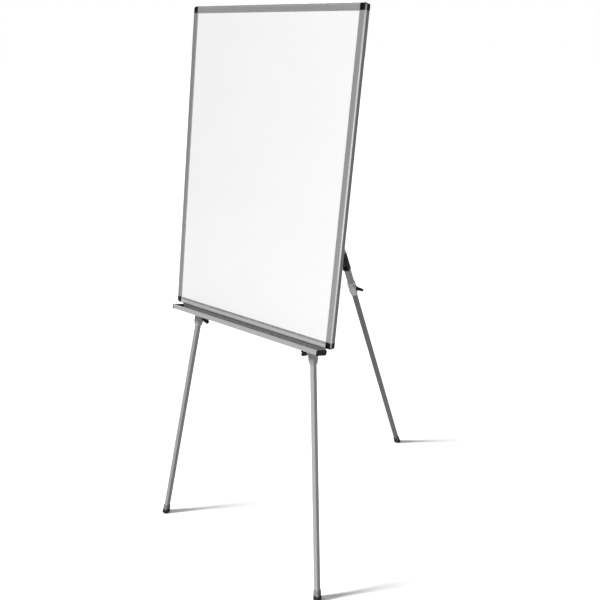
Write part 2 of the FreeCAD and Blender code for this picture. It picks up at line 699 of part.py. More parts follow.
def clamp_collar():
    """The moulded collar: tapered nose, tube socket, clamp boss, nut pocket and bores."""
    shell = square_bar(COLLAR_SIDE, COLLAR_RADIUS, COLLAR_NOSE, COLLAR_LENGTH)
    shell = broken_edges(shell, EDGE_BREAK, at_level(COLLAR_LENGTH))
    nose = Part.makeLoft([square_wire(COLLAR_SIDE - 2 * COLLAR_NOSE_TAPER, COLLAR_RADIUS, 0),
                          square_wire(COLLAR_SIDE, COLLAR_RADIUS, COLLAR_NOSE)], True, True)
    collar = shell.fuse([nose, clamp_boss()])
    collar = collar.cut(square_bar(COLLAR_BORE, OUTER_RADIUS, COLLAR_NOSE, COLLAR_LENGTH))
    collar = collar.cut(square_bar(INNER_SIDE + 2 * COLLAR_NOSE_GAP, INNER_RADIUS, 0, COLLAR_NOSE))
    centre = Vector(0, 0, CLAMP_HEIGHT)
    shoe_end = NUT_INSET - NUT_WALL
    collar = collar.cut(rod(SHOE_RADIUS + SHOE_BORE_GAP, centre, X_AXIS, shoe_end))
    collar = collar.cut(rod(STUD_BORE_RADIUS, centre, X_AXIS, BOSS_END + 1))
    half = NUT_SIDE / 2 + NUT_GAP
    collar = collar.cut(box(NUT_INSET - NUT_GAP, NUT_INSET + NUT_THICKNESS + NUT_GAP, -half, half,
                            CLAMP_HEIGHT - half, CLAMP_HEIGHT + BOSS_RISE + 1))
    return collar.cut(collar_rivet_hole()).removeSplitter()


def clamp_boss():
    """A block with a round lower end on the collar's +X side."""
    half = BOSS_WIDTH / 2
    start = OUTER_SIDE / 2

    def plane(across, height):
        return Vector(start, across, CLAMP_HEIGHT + height)
    edges = [line(plane(half, 0), plane(half, BOSS_RISE)),
             line(plane(half, BOSS_RISE), plane(-half, BOSS_RISE)),
             line(plane(-half, BOSS_RISE), plane(-half, 0)),
             arc(plane(-half, 0), plane(0, -half), plane(half, 0))]
    boss = Part.Face(Part.Wire(edges)).extrude(Vector(BOSS_END - start, 0, 0))
    return boss.makeFillet(BOSS_EDGE, [edge for edge in boss.Edges
                                       if all(abs(v.X - BOSS_END) < 1e-4 for v in edge.Vertexes)])


def clamp_nut():
    half = NUT_SIDE / 2
    nut = box(NUT_INSET, NUT_INSET + NUT_THICKNESS, -half, half, CLAMP_HEIGHT - half, CLAMP_HEIGHT + half)
    return nut.cut(rod(NUT_BORE_RADIUS, Vector(NUT_INSET, 0, CLAMP_HEIGHT), X_AXIS, NUT_THICKNESS))


def clamp_shoe():
    """The pressure shoe, with a socket for the stud's tip."""
    shoe = rod(SHOE_RADIUS, Vector(SHOE_FACE, 0, CLAMP_HEIGHT), X_AXIS, SHOE_THICKNESS)
    socket_end = Vector(SHOE_BACK - STUD_TIP_LENGTH - SHOE_GAP, 0, CLAMP_HEIGHT)
    socket = rod(STUD_TIP_RADIUS + SHOE_BORE_GAP, socket_end, X_AXIS, STUD_TIP_LENGTH + 1)
    return shoe.cut(socket)


def clamp_stud():
    start = Vector(SHOE_BACK, 0, CLAMP_HEIGHT)
    body = rod(STUD_RADIUS, start, X_AXIS, KNOB_BASE + KNOB_STUD_DEPTH - SHOE_BACK)
    tip = rod(STUD_TIP_RADIUS, start - X_AXIS * STUD_TIP_LENGTH, X_AXIS, STUD_TIP_LENGTH)
    return body.fuse(tip).removeSplitter()


def knob_wing(side):
    """One wing: a rounded paddle that leans out from the hub."""
    root = Vector(KNOB_WING_ROOT, 0, side * KNOB_WING_ROOT_OFFSET)
    tip = Vector(KNOB_LENGTH - KNOB_WING_RADIUS, 0, side * (KNOB_SPAN / 2 - KNOB_WING_RADIUS))
    along = (tip - root).normalize() * KNOB_WING_RADIUS
    across = along.cross(Y_AXIS)
    base = Vector(0, -KNOB_WING_THICKNESS / 2, 0)
    edges = [line(base + root + across, base + tip + across),
             arc(base + tip + across, base + tip + along, base + tip - across),
             line(base + tip - across, base + root - across),
             arc(base + root - across, base + root - along, base + root + across)]
    wing = Part.Face(Part.Wire(edges)).extrude(Vector(0, KNOB_WING_THICKNESS, 0))
    rims = [edge for edge in wing.Edges if edge.BoundBox.YLength < 1e-3]
    return wing.makeFillet(KNOB_WING_EDGE, rims)


def wing_knob(turn):
    """A moulded wing knob on the stud, with its wings turned from upright."""
    flange = rod(KNOB_FLANGE_RADIUS, Vector(), X_AXIS, KNOB_FLANGE)
    rims = [edge for edge in flange.Edges if edge.BoundBox.XLength < 1e-3]
    flange = flange.makeFillet(KNOB_FLANGE_EDGE, rims)
    hub = Part.makeCone(KNOB_FLANGE_RADIUS - EDGE_BREAK, KNOB_HUB_RADIUS, KNOB_HUB_LENGTH, Vector(), X_AXIS)
    hub = hub.makeFillet(EDGE_BREAK, [edge for edge in hub.Edges
                                      if edge.BoundBox.XMin > KNOB_HUB_LENGTH - 1e-3])
    knob = flange.fuse([hub, knob_wing(1), knob_wing(-1)]).removeSplitter()
    knob = shifted(turned(knob, X_AXIS, turn), KNOB_BASE, 0, CLAMP_HEIGHT)
    return knob.cut(clamp_stud())


def inner_tube(reach, top):
    return square_tube(INNER_SIDE, INNER_WALL, INNER_RADIUS, FOOT_SOLE - reach, top)


def guide_plug(top):
    """The sliding plug at the top of an inner tube."""
    stem = square_bar(INNER_BORE - 2 * PLUG_GAP, INNER_RADIUS - INNER_WALL, top - PLUG_DEPTH, top)
    head_radius = OUTER_RADIUS - OUTER_WALL + GUIDE_GAP
    head = square_bar(OUTER_BORE - 2 * GUIDE_GAP, head_radius, top, top + GUIDE_HEAD)
    head = broken_edges(head, EDGE_BREAK, at_level(top + GUIDE_HEAD))
    return stem.fuse(head).removeSplitter()


def foot_groove(side, low):
    """A square ring that cuts a shallow groove round a ferrule of that side, upwards from low."""
    depth = FOOT_GROOVE_DEPTH
    high = low + FOOT_GROOVE_WIDTH
    ring = square_bar(side + 2 * depth, FOOT_RADIUS + depth, low, high)
    return ring.cut(square_bar(side - 2 * depth, FOOT_RADIUS - depth, low, high))


def foot(reach, place):
    """A rubber ferrule with two grip grooves, cut flat on the floor."""
    low = -reach - FOOT_OVERRUN
    top = FOOT_LENGTH - reach
    outer = Part.makeLoft([square_wire(FOOT_BASE_SIDE, FOOT_RADIUS, low),
                           square_wire(FOOT_TOP_SIDE, FOOT_RADIUS, top)], True, True)
    outer = broken_edges(outer, FOOT_TOP_EDGE, at_level(top))
    for index in range(FOOT_GROOVES):
        drop = FOOT_GROOVE_DROP + index * FOOT_GROOVE_PITCH
        share = drop / (top - low)
        side = FOOT_TOP_SIDE + share * (FOOT_BASE_SIDE - FOOT_TOP_SIDE)
        outer = outer.cut(foot_groove(side, top - drop))
    socket = square_bar(INNER_SIDE + 2 * FOOT_GAP, INNER_RADIUS, FOOT_SOLE - reach, top + 1)
    body = moved(outer.cut(socket), place)
    spot = place.multVec(Vector(0, 0, -reach))
    reach_out = 3 * FOOT_BASE_SIDE
    return body.cut(box(spot.x - reach_out, spot.x + reach_out, spot.y - reach_out, spot.y + reach_out,
                        -reach_out, 0))


def rear_plug():
    """The rear tube's top plug, crossed by the hinge bush."""
    plug = tube_plug(REAR_TOP - PLUG_FLANGE)
    deep = square_bar(OUTER_BORE - 2 * PLUG_GAP, OUTER_RADIUS - OUTER_WALL, REAR_DROP - PLUG_DEPTH, REAR_DROP)
    bush = rod(BUSH_RADIUS, Vector(-OUTER_SIDE, 0, REAR_DROP), X_AXIS, 2 * OUTER_SIDE)
    return plug.fuse(deep).removeSplitter().cut(bush)


def hinge_bush():
    start = Vector(-OUTER_SIDE / 2, 0, REAR_DROP)
    bush = rod(BUSH_RADIUS, start, X_AXIS, OUTER_SIDE)
    return bush.cut(rod(PIN_RADIUS + PIN_GAP, start, X_AXIS, OUTER_SIDE))


def rear_tube():
    bush = rod(BUSH_RADIUS, Vector(-OUTER_SIDE, 0, REAR_DROP), X_AXIS, 2 * OUTER_SIDE)
    return outer_tube(REAR_TOP - PLUG_FLANGE).cut(bush)


def fold_sleeve():
    """The black sleeve on the rear tube; its nib meets the lower rail when the leg is folded."""
    low = NIB_CENTRE - SLEEVE_OVERHANG
    bore = OUTER_SIDE + 2 * SLEEVE_GAP
    side = bore + 2 * SLEEVE_WALL
    sleeve = square_bar(side, OUTER_RADIUS + SLEEVE_WALL, low, low + SLEEVE_LENGTH)
    end = -(HINGE_DEPTH - RAIL_DEPTH - NIB_GAP)
    half = NIB_WIDTH / 2
    nib = box(-half, half, end, -OUTER_SIDE / 2, NIB_CENTRE - NIB_HEIGHT / 2, NIB_CENTRE + NIB_HEIGHT / 2)
    nib = nib.makeFillet(NIB_EDGE, [edge for edge in nib.Edges if edge.BoundBox.YMax < end + 1e-3])
    sleeve = broken_edges(sleeve, SLEEVE_EDGE, lambda e: at_level(low)(e) or at_level(low + SLEEVE_LENGTH)(e))
    return sleeve.fuse(nib).cut(square_bar(bore, OUTER_RADIUS, low, low + SLEEVE_LENGTH)).removeSplitter()


# Placements

def board_place():
    return Placement(Vector(0, 0, BOARD_EDGE_HEIGHT), Rotation(X_AXIS, -BOARD_TILT))


def front_leg_local(side):
    """A front leg's place on the board; side is -1 for left and 1 for right."""
    mouth = Vector(side * (FRONT_LEG_SPREAD + FRONT_MOUTH_DROP * SPLAY_SLOPE), TUBE_DEPTH, -FRONT_MOUTH_DROP)
    return Placement(mouth, Rotation(Y_AXIS, -side * LEG_SPLAY))


def clamp_turn(side):
    """Both front clamps face the middle, so the right-hand one is turned about the leg."""
    return Placement(Vector(), Rotation(Z_AXIS, 180 if side > 0 else 0))


def strap_local(side, height):
    spot = Vector(side * (FRONT_LEG_SPREAD - height * SPLAY_SLOPE), TUBE_DEPTH, height)
    return Placement(spot, Rotation(Y_AXIS, -side * LEG_SPLAY))


def rear_leg_place():
    lean = REAR_OPEN - BOARD_TILT
    turn = Rotation(X_AXIS, lean)
    pin = board_place().multVec(Vector(0, HINGE_DEPTH, HINGE_HEIGHT))
    return Placement(pin - turn.multVec(Vector(0, 0, REAR_DROP)), turn)


def floor_reach(place):
    """The distance down a leg's axis from the collar's mouth to the floor."""
    up = place.Rotation.multVec(Z_AXIS)
    return place.Base.z / up.z


def corner_places():
    half = BOARD_WIDTH / 2
    return {"bottom_left": Placement(Vector(-half, 0, 0), Rotation(Y_AXIS, 0)),
            "top_left": Placement(Vector(-half, 0, BOARD_HEIGHT), Rotation(Y_AXIS, 90)),
            "top_right": Placement(Vector(half, 0, BOARD_HEIGHT), Rotation(Y_AXIS, 180)),
            "bottom_right": Placement(Vector(half, 0, 0), Rotation(Y_AXIS, -90))}


def strap_places():
    places = []
    for side in (-1, 1):
        for height in (STRAP_BOTTOM_HEIGHT, STRAP_TOP_HEIGHT):
            places.append((height, strap_local(side, height)))
    return places


def strap_screw_set(shape):
    """The eight strap screws, or their holes, in the board's frame."""
    result = []
    head_plane = -OUTER_SIDE / 2 + STRAP_THICKNESS
    for _, place in strap_places():
        for side in (-1, 1):
            spot = Vector(side * STRAP_SCREW_SPREAD, head_plane, 0)
            result.append(moved(facing_back(shape, spot), place))
    return result


def build_frame():
    """The panel, rails, corners and tray, in the board's frame."""
    parts = {}
    front = RAIL_LIP
    for name, thickness in (("writing_sheet", SHEET_THICKNESS), ("panel_core", CORE_THICKNESS),
                            ("backing_sheet", BACKING_THICKNESS)):
        parts[name] = panel_layer(front, thickness)
        front += thickness
    half = BOARD_WIDTH / 2
    upright = BOARD_HEIGHT - 2 * RAIL_FACE
    level = BOARD_WIDTH - 2 * RAIL_FACE
    inner = half - RAIL_FACE
    parts["left_rail"] = moved(rail(upright), Placement(Vector(-half, 0, RAIL_FACE), Rotation()))
    parts["right_rail"] = moved(rail(upright), Placement(Vector(half, 0, BOARD_HEIGHT - RAIL_FACE),
                                                         Rotation(Y_AXIS, 180)))
    parts["top_rail"] = moved(rail(level), Placement(Vector(-inner, 0, BOARD_HEIGHT), Rotation(Y_AXIS, 90)))
    parts["bottom_rail"] = moved(rail(level), Placement(Vector(inner, 0, 0), Rotation(Y_AXIS, -90)))
    screws = []
    holes = []
    for name, place in corner_places().items():
        parts["corner_" + name] = moved(frame_corner(), place)
        for spot in corner_screw_spots():
            screws.append(moved(facing_back(screw(), spot), place))
            holes.append(moved(facing_back(screw_hole(), spot), place))
    parts["corner_screws"] = Part.makeCompound(screws)
    parts["pen_tray"] = pen_tray()
    parts["tray_cap_left"] = tray_cap(-1)
    parts["tray_cap_right"] = tray_cap(1)
    tray_spots = tray_screw_spots()
    parts["tray_screws"] = Part.makeCompound([facing_down(screw(), spot) for spot in tray_spots])
    plate_spots = plate_screw_spots()
    parts["head_plate_screws"] = Part.makeCompound([facing_back(screw(), spot) for spot in plate_spots])
    holes += [facing_down(screw_hole(), spot) for spot in tray_spots]
    holes += [facing_back(screw_hole(), spot) for spot in plate_spots]
    holes += strap_screw_set(screw_hole())
    for name in ("left_rail", "right_rail", "top_rail", "bottom_rail"):
        parts[name] = parts[name].cut(holes)
    return parts


def build_stand():
    """The head plate, straps, pads and hinge, in the board's frame."""
    parts = {}
    rivet_run = BRACKET_THICKNESS + PLATE_THICKNESS
    rivet_spots = bracket_rivet_spots()
    holes = strap_screw_set(screw_hole())
    holes += [facing_back(screw_hole(), spot) for spot in plate_screw_spots()]
    holes += [facing_back(rivet_hole(rivet_run), spot) for spot in rivet_spots]
    parts["head_plate"] = head_plate().cut(holes)
    parts["tube_straps"] = Part.makeCompound([moved(strap(), place) for _, place in strap_places()])
    parts["strap_screws"] = Part.makeCompound(strap_screw_set(screw()))
    pads = []
    for height, place in strap_places():
        if height == STRAP_BOTTOM_HEIGHT:
            base = -OUTER_SIDE / 2
            pad = box(-STRAP_REACH, STRAP_REACH, base - PLATE_THICKNESS, base,
                      -STRAP_WIDTH / 2, STRAP_WIDTH / 2)
            pads.append(moved(pad, place).cut(holes))
    parts["tube_pads"] = Part.makeCompound(pads)
    parts["hinge_bracket"] = hinge_bracket()
    parts["bracket_rivets"] = Part.makeCompound([facing_back(rivet(rivet_run, True), s) for s in rivet_spots])
    parts["hinge_bolt"] = hinge_bolt()
    parts["hinge_nut"] = hinge_nut()
    parts["hinge_washers"] = Part.makeCompound(hinge_washers())
    return parts


def build_clamp(prefix, wing_turn):
    """One clamp's pieces, in the leg's frame."""
    return {prefix + "_collar": clamp_collar(),
            prefix + "_clamp_nut": clamp_nut(),
            prefix + "_clamp_shoe": clamp_shoe(),
            prefix + "_clamp_stud": clamp_stud(),
            prefix + "_knob": wing_knob(wing_turn)}


def build_inner_leg(prefix, place, overlap):
    """The sliding part of a leg, in the world; overlap is its length inside the outer tube."""
    reach = floor_reach(place)
    return {prefix + "_inner_tube": moved(inner_tube(reach, overlap), place),
            prefix + "_guide_plug": moved(guide_plug(overlap), place),
            prefix + "_foot": foot(reach, place)}


def build():
    """Every node's shape in the world, before centring."""
    board = board_place()
    parts = {}
    for name, shape in {**build_frame(), **build_stand()}.items():
        parts[name] = moved(shape, board)
    rivets = []
    for prefix, side, wing_turn in (("left", -1, LEFT_WING_TURN), ("right", 1, RIGHT_WING_TURN)):
        place = board.multiply(front_leg_local(side))
        turned_place = place.multiply(clamp_turn(side))
        parts[prefix + "_outer_tube"] = moved(outer_tube(FRONT_TUBE_TOP), turned_place)
        parts[prefix + "_tube_plug"] = moved(tube_plug(FRONT_TUBE_TOP), turned_place)
        rivets.append(moved(collar_rivet(), turned_place))
        for name, shape in build_clamp(prefix, wing_turn).items():
            parts[name] = moved(shape, turned_place)
        parts.update(build_inner_leg(prefix, place, FRONT_OVERLAP))
    parts["front_collar_rivets"] = Part.makeCompound(rivets)
    rear = rear_leg_place()
    rear_parts = {"rear_outer_tube": rear_tube(), "rear_tube_plug": rear_plug(), "hinge_bush": hinge_bush(),
                  "fold_sleeve": fold_sleeve(), "rear_collar_rivet": collar_rivet(),
                  **build_clamp("rear", REAR_WING_TURN)}
    for name, shape in rear_parts.items():
        parts[name] = moved(shape, rear)
    parts.update(build_inner_leg("rear", rear, REAR_OVERLAP))
    return parts


def centre_shift(parts):
    """The move along Y that puts the origin midway between the front and rear feet."""
    front = min(parts[name].optimalBoundingBox().YMin for name in ("left_foot", "right_foot"))
    back = parts["rear_foot"].optimalBoundingBox().YMax
    return Vector(0, -(front + back) / 2, 0)


def export(parts, shift):
    os.makedirs("parts", exist_ok=True)
    for name, shape in parts.items():
        moved(shape, Placement(shift, Rotation())).exportStep(os.path.join("parts", name + ".step"))


PARTS = build()
SHIFT = centre_shift(PARTS)
if __name__ == "__main__":
    export(PARTS, SHIFT)
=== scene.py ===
"""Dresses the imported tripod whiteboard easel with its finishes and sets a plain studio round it.

Every object is in metres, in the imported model's own frame: +X to the right of a person who faces
the board, -Y out of the board's front, +Z up, the floor at Z 0.
"""
import json
import math

import bpy
import numpy as np
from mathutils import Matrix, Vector

bl_info = {
    "name": "Tripod Whiteboard Easel",
    "version": (1, 0, 0),
    "blender": (4, 5, 0),
    "location": "View3D > Sidebar > Easel",
    "description": "Finishes for a whiteboard on telescopic tripod legs, and a plain studio",
    "category": "Object",
}

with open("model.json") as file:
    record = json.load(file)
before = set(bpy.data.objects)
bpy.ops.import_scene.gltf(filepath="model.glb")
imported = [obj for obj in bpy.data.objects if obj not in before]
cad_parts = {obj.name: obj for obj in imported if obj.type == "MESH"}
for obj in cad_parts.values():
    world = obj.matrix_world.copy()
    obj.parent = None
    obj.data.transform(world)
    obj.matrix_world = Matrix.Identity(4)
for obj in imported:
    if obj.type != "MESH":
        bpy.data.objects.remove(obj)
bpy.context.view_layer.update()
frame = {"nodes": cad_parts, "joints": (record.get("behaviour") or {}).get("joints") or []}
NODES = frame["nodes"]
JOINT_AXES = {joint["name"]: Vector(joint["axis"]) for joint in frame["joints"]}
NODE_STEP = 220.0

FRONT_LEGS = ("left", "right")
LEGS = (*FRONT_LEGS, "rear")
LEG_AXES = {leg: JOINT_AXES[leg + "_leg_slide"] for leg in LEGS}
LOWER_PARTS = ("_inner_tube", "_collar", "_foot")

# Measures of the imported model

X_AXIS = Vector((1.0, 0.0, 0.0))
Z_AXIS = Vector((0.0, 0.0, 1.0))
BOARD_TILT = math.radians(8.0)
BOARD_UP = Vector((0.0, math.sin(BOARD_TILT), math.cos(BOARD_TILT)))
BOARD_BACK = Vector((0.0, math.cos(BOARD_TILT), -math.sin(BOARD_TILT)))
BOARD_FOOT = Vector((0.0, -0.42996, 0.84600))
BOARD_HALF = 0.350
RAIL_FACE = 0.022
EDGE_RADIUS = 0.007
TRAY_SETBACK = 0.008
TRAY_DROP = 0.0199
TRAY_TILT = math.radians(8.0)
TRAY_SLOPE = TRAY_TILT + BOARD_TILT
TRAY_HEEL = BOARD_FOOT + BOARD_BACK * TRAY_SETBACK - BOARD_UP * TRAY_DROP
TRAY_FORWARD = Vector((0.0, -math.cos(TRAY_SLOPE), math.sin(TRAY_SLOPE)))
TRAY_UP = Vector((0.0, math.sin(TRAY_SLOPE), math.cos(TRAY_SLOPE)))

# Where dirt, wear, painted shade, painted highlights and tones begin and end

HEEL_FULL = 0.004
HEEL_SHADE_END = 0.022
UNDER_FACE = -0.001
AT_FACE = -0.0004
RAIL_SHADE_WIDTH = 0.010
SIDE_EDGE = 0.0010
HIGHLIGHT_START = 0.25
HIGHLIGHT_FULL = 0.42
SOLE_HEIGHT = 0.0165
SOLE_EDGE = 0.0006
FLAT_COSINE = 0.99
WORN_COSINE = 0.80
SCRATCH_WIDTH = 0.03
BAND_BREADTH = 12.0
FLOW_BREADTH = 50.0
NOISE_LOW = 0.3
NOISE_HIGH = 0.7
WIPE_AXIS = Vector((0.9, 0.0, 0.45)).normalized()

# Shares of metal, shine, dust and painted light and shade

RAIL_METALLIC = 0.8
LOWER_METALLIC = 0.15
TRAY_METALLIC = 0.6
OUTER_METALLIC = 0.25
INNER_METALLIC = 0.05
SCREW_METALLIC = 0.6
RIVET_METALLIC = 0.5
DULL_GLOSS = 0.2
BLACK_GLOSS = 0.08
SIDE_SHADE_SHARE = 1.0
RAIL_SHADE_SHARE = 0.7
TRAY_SHADE_SHARE = 0.55
TUBE_DUST_SHARE = 0.35
HIGHLIGHT_SHARE = 0.8


# Settings

def neutral(level):
    """A grey, in linear light."""
    return (level, level, level)


def colour(name, description, default):
    """A colour that the user may change, in linear light."""
    return bpy.props.FloatVectorProperty(
        name=name, description=description, subtype="COLOR", size=3, min=0.0, max=1.0, default=default)


def length(name, description, default):
    """A length in metres."""
    return bpy.props.FloatProperty(
        name=name, description=description, unit="LENGTH", min=0.0001, default=default)


def strength(name, description, default):
    """A lamp's strength."""
    return bpy.props.FloatProperty(name=name, description=description, min=0.0, default=default)


def direction(name, description, default):
    """A direction that a lamp shines from."""
    return bpy.props.FloatVectorProperty(
        name=name, description=description, subtype="DIRECTION", size=3, default=default)


def angle(name, description, degrees):
    """An angle, given in degrees."""
    return bpy.props.FloatProperty(
        name=name, description=description, subtype="ANGLE", min=0.0, default=math.radians(degrees))


class EaselFinish(bpy.types.PropertyGroup):
    """The colours of the easel's finishes, some of which paint light and shade on rails, tubes and corners.
    """

    enamel: colour("Writing surface", "Dry-wipe enamel of the board's front", neutral(0.90))
    foil: colour("Backing", "Embossed sheet on the board's back", (0.50, 0.51, 0.52))
    fibre: colour("Panel core", "Fibre board between the two sheets", (0.42, 0.33, 0.22))
    frame_metal: colour("Frame", "Satin anodised right and top rails", neutral(0.275))
    # The left rail's darker grey is painted shade: the rails share one anodised finish.
    left_rail_shade_tone: colour("Left rail", "Satin anodised left rail", neutral(0.225))
    # The rail sides' dark grey is painted shade, not a finish of their own.
    side_shade_colour: colour("Rail sides", "Unbrushed outer sides of the two side rails", neutral(0.13))
    # The lower rail's pale grey is a painted highlight on a rail of the same anodised finish.
    lower_rail_highlight_tone: colour("Lower rail", "Satin anodised lower rail", neutral(0.55))
    tray_metal: colour("Tray", "Satin anodised pen tray", neutral(0.40))
    outer_metal: colour("Outer tubes", "Anodised outer leg tubes", neutral(0.24))
    # The three sliding tubes share one anodised finish; their greys paint light and shade: the right tube
    # lit, the left shaded, the rear in deep painted shade.
    left_tube: colour("Left tube", "Anodised sliding tube of the left leg", neutral(0.45))
    right_tube: colour("Right tube", "Anodised sliding tube of the right leg", neutral(0.60))
    rear_tube: colour("Rear tube", "Anodised sliding tube of the rear leg", neutral(0.17))
    rivet_metal: colour("Rivets", "Plain aluminium rivets", neutral(0.42))
    plated_metal: colour("Fasteners", "Zinc plated screws, nuts, studs and bolt", (0.55, 0.55, 0.54))
    coated_metal: colour("Pressings", "Powder coat of the plate, straps and bracket", (0.16, 0.16, 0.165))
    collar: colour("Clamp collars", "Grey moulded collars on the outer tubes", neutral(0.58))
    plastic: colour("Black mouldings", "Corners, caps, knobs, plugs and sleeve", (0.004, 0.004, 0.0043))
    # This grey paints a highlight along the corner pieces' rounded outer edges.
    wear_and_highlight: colour("Rubbed corners", "Grey of the corner pieces' rubbed outer edges", neutral(0.30))
    nylon: colour("Slide plugs", "Natural nylon guide plugs, bush and washers", (0.66, 0.64, 0.58))
    rubber: colour("Soles", "Black rubber soles of the feet", neutral(0.012))
    dust: colour("Dust", "Floor dust on the feet and the lower legs", (0.34, 0.32, 0.29))
    # This near-black is painted shade along the lower rail's joint with the board and in the tray's recess.
    shade_tint: colour("Ink dust", "Dry ink on the lower rail and in the tray", (0.05, 0.05, 0.055))


class EaselSurface(bpy.types.PropertyGroup):
    """The sizes of the marks on the easel's surfaces."""

    die_pitch: length("Die lines", "Distance between the lines that a die leaves on a rail", 0.0007)
    wear_width: length("Edge wear", "Width of the worn band along an edge", 0.0009)
    grain: length("Mould grain", "Size of the fine grain on mouldings", 0.0006)
    emboss: length("Embossing", "Size of the pebbles on the backing sheet", 0.006)
    wipe: length("Wiping marks", "Width of the marks that a wiper leaves on the enamel", 0.03)
    dust_height: length("Dust height", "Height above the floor where the dust ends", 0.12)
    # Size of the noise patches that break up the painted shade on the lower rail and in the tray.
    shade_patch: length("Ink smears", "Size of the smears of ink dust", 0.011)


class EaselStage(bpy.types.PropertyGroup):
    """The studio: lamps, floor and camera."""

    key_strength: strength("Key", "Strength of the lamp above the front", 2.3)
    key_from: direction("Key direction", "Where the key lamp shines from", (-0.242, -0.664, 0.707))
    key_angle: angle("Key size", "Apparent size of the key lamp", 14.0)
    box_power: bpy.props.FloatProperty(
        name="Soft box", description="Power of the soft box on the front right", unit="POWER",
        min=0.0, default=66.0)
    box_place: bpy.props.FloatVectorProperty(
        name="Soft box place", description="Where the soft box stands", subtype="TRANSLATION",
        unit="LENGTH", size=3, default=(2.8, -2.46, 1.5))
    box_width: length("Soft box width", "Width of the soft box", 4.2)
    box_height: length("Soft box height", "Height of the soft box", 2.4)
    back_strength: strength("Back", "Strength of the lamp behind on the left", 1.6)
    back_from: direction("Back direction", "Where the back lamp shines from", (-0.45, 0.80, 0.40))
    back_angle: angle("Back size", "Apparent size of the back lamp", 30.0)
    floor_strength: strength("Floor lamp", "Strength of the low lamp that lights the floor", 3.1)
    floor_from: direction(
        "Floor lamp direction", "Where the floor lamp shines from", (-0.590, -0.715, 0.375))
    floor_angle: angle("Floor lamp size", "Apparent size of the floor lamp", 11.5)
    ambient: bpy.props.FloatProperty(
        name="Room light", description="Level of the light from all round", min=0.0, max=1.0, default=0.12)
    floor_bounce: bpy.props.FloatProperty(
        name="Floor tone", description="How much light the floor throws back", min=0.0, max=1.0,
        default=0.7)
    floor_white: bpy.props.FloatProperty(
        name="Floor white", description="Tone that shows the lit floor as white", min=0.0, default=2.7)
    floor_half: length("Floor size", "Half the floor's side", 40.0)
    camera_place: bpy.props.FloatVectorProperty(
        name="Camera", description="Where the camera stands", subtype="TRANSLATION",
        unit="LENGTH", size=3, default=(1.6923, -2.14766, 1.7665))
    camera_azimuth: bpy.props.FloatProperty(
        name="Azimuth", description="The camera's turn to the right of the front", subtype="ANGLE",
        default=math.radians(40.445))
    camera_pitch: bpy.props.FloatProperty(
        name="Pitch", description="How far the camera looks down", subtype="ANGLE",
        default=math.radians(19.183))
    lens: bpy.props.FloatProperty(
        name="Lens", description="Focal length on a 36 mm frame", unit="CAMERA", default=46.82)


# Node trees

class Graph:
    """A node tree that is filled from left to right, one node for each call."""

    def __init__(self, tree):
        self.tree = tree

    def add(self, kind, inputs=None, **settings):
        """Adds a node; inputs maps a socket's name or index to a value or to the socket that feeds it."""
        node = self.tree.nodes.new(kind)
        node.location = (NODE_STEP * len(self.tree.nodes), 0.0)
        for name, value in settings.items():
            setattr(node, name, value)
        for name, value in (inputs or {}).items():
            self.feed(node.inputs[name], value)
        return node

    def feed(self, socket, value):
        """Links value into the socket, or sets it there if it is no socket."""
        if isinstance(value, bpy.types.NodeSocket):
            self.tree.links.new(value, socket)
        else:
            socket.default_value = value

    def point(self):
        """The place on the piece, in its own coordinates."""
        return self.add("ShaderNodeTexCoord").outputs["Object"]

    def along(self, axis):
        """The place on the piece, turned so that Z runs along axis."""
        turn = axis.rotation_difference(Z_AXIS).to_euler()
        return self.add("ShaderNodeMapping", {"Vector": self.point(), "Rotation": turn}).outputs[0]

    def math(self, operation, first, second=0.0, clamp=False):
        """The result of a Math node."""
        node = self.add("ShaderNodeMath", {0: first, 1: second}, operation=operation, use_clamp=clamp)
        return node.outputs[0]

    def times(self, first, second, clamp=False):
        """first times second."""
        return self.math("MULTIPLY", first, second, clamp)

    def vector(self, operation, first, second):
        """The outputs of a Vector Math node."""
        return self.add("ShaderNodeVectorMath", {0: first, 1: second}, operation=operation).outputs

    def dot(self, first, second):
        """How far first reaches along second."""
        return self.vector("DOT_PRODUCT", first, second)["Value"]

    def seen_from(self, origin):
        """The place on the piece, counted from origin."""
        return self.vector("SUBTRACT", self.point(), origin)["Vector"]

    def part(self, vector, letter):
        """One coordinate of a vector."""
        return self.add("ShaderNodeSeparateXYZ", {0: vector}).outputs[letter]

    def remap(self, value, low, high, new_low, new_high):
        """value carried from low..high to new_low..new_high, and held at the ends."""
        node = self.add("ShaderNodeMapRange", {0: value, 1: low, 2: high, 3: new_low, 4: new_high})
        return node.outputs[0]

    def spread(self, noise, low=0.0, high=1.0):
        """Noise carried from its usual range to low..high."""
        return self.remap(noise, NOISE_LOW, NOISE_HIGH, low, high)

    def noise(self, vector, scale, detail=2.0):
        """Noise that seldom leaves NOISE_LOW..NOISE_HIGH."""
        node = self.add("ShaderNodeTexNoise", {"Vector": vector, "Scale": scale, "Detail": detail})
        return node.outputs[0]

    def mix(self, share, first, second):
        """The colour first, turning to second as share goes from 0 to 1."""
        return self.add("ShaderNodeMix", {0: share, 6: first, 7: second}, data_type="RGBA").outputs[2]

    def bump(self, height, distance):
        """A normal that follows height, distance metres deep."""
        return self.add("ShaderNodeBump", {"Height": height, "Distance": distance}).outputs[0]

    def effect(self, group, inputs):
        """Places a node group and returns its outputs."""
        return self.add("ShaderNodeGroup", inputs, node_tree=group).outputs


def empty_graph(owner):
    """The graph of a material or a world, with no node in it."""
    owner.use_nodes = True
    owner.node_tree.nodes.clear()
    return Graph(owner.node_tree)


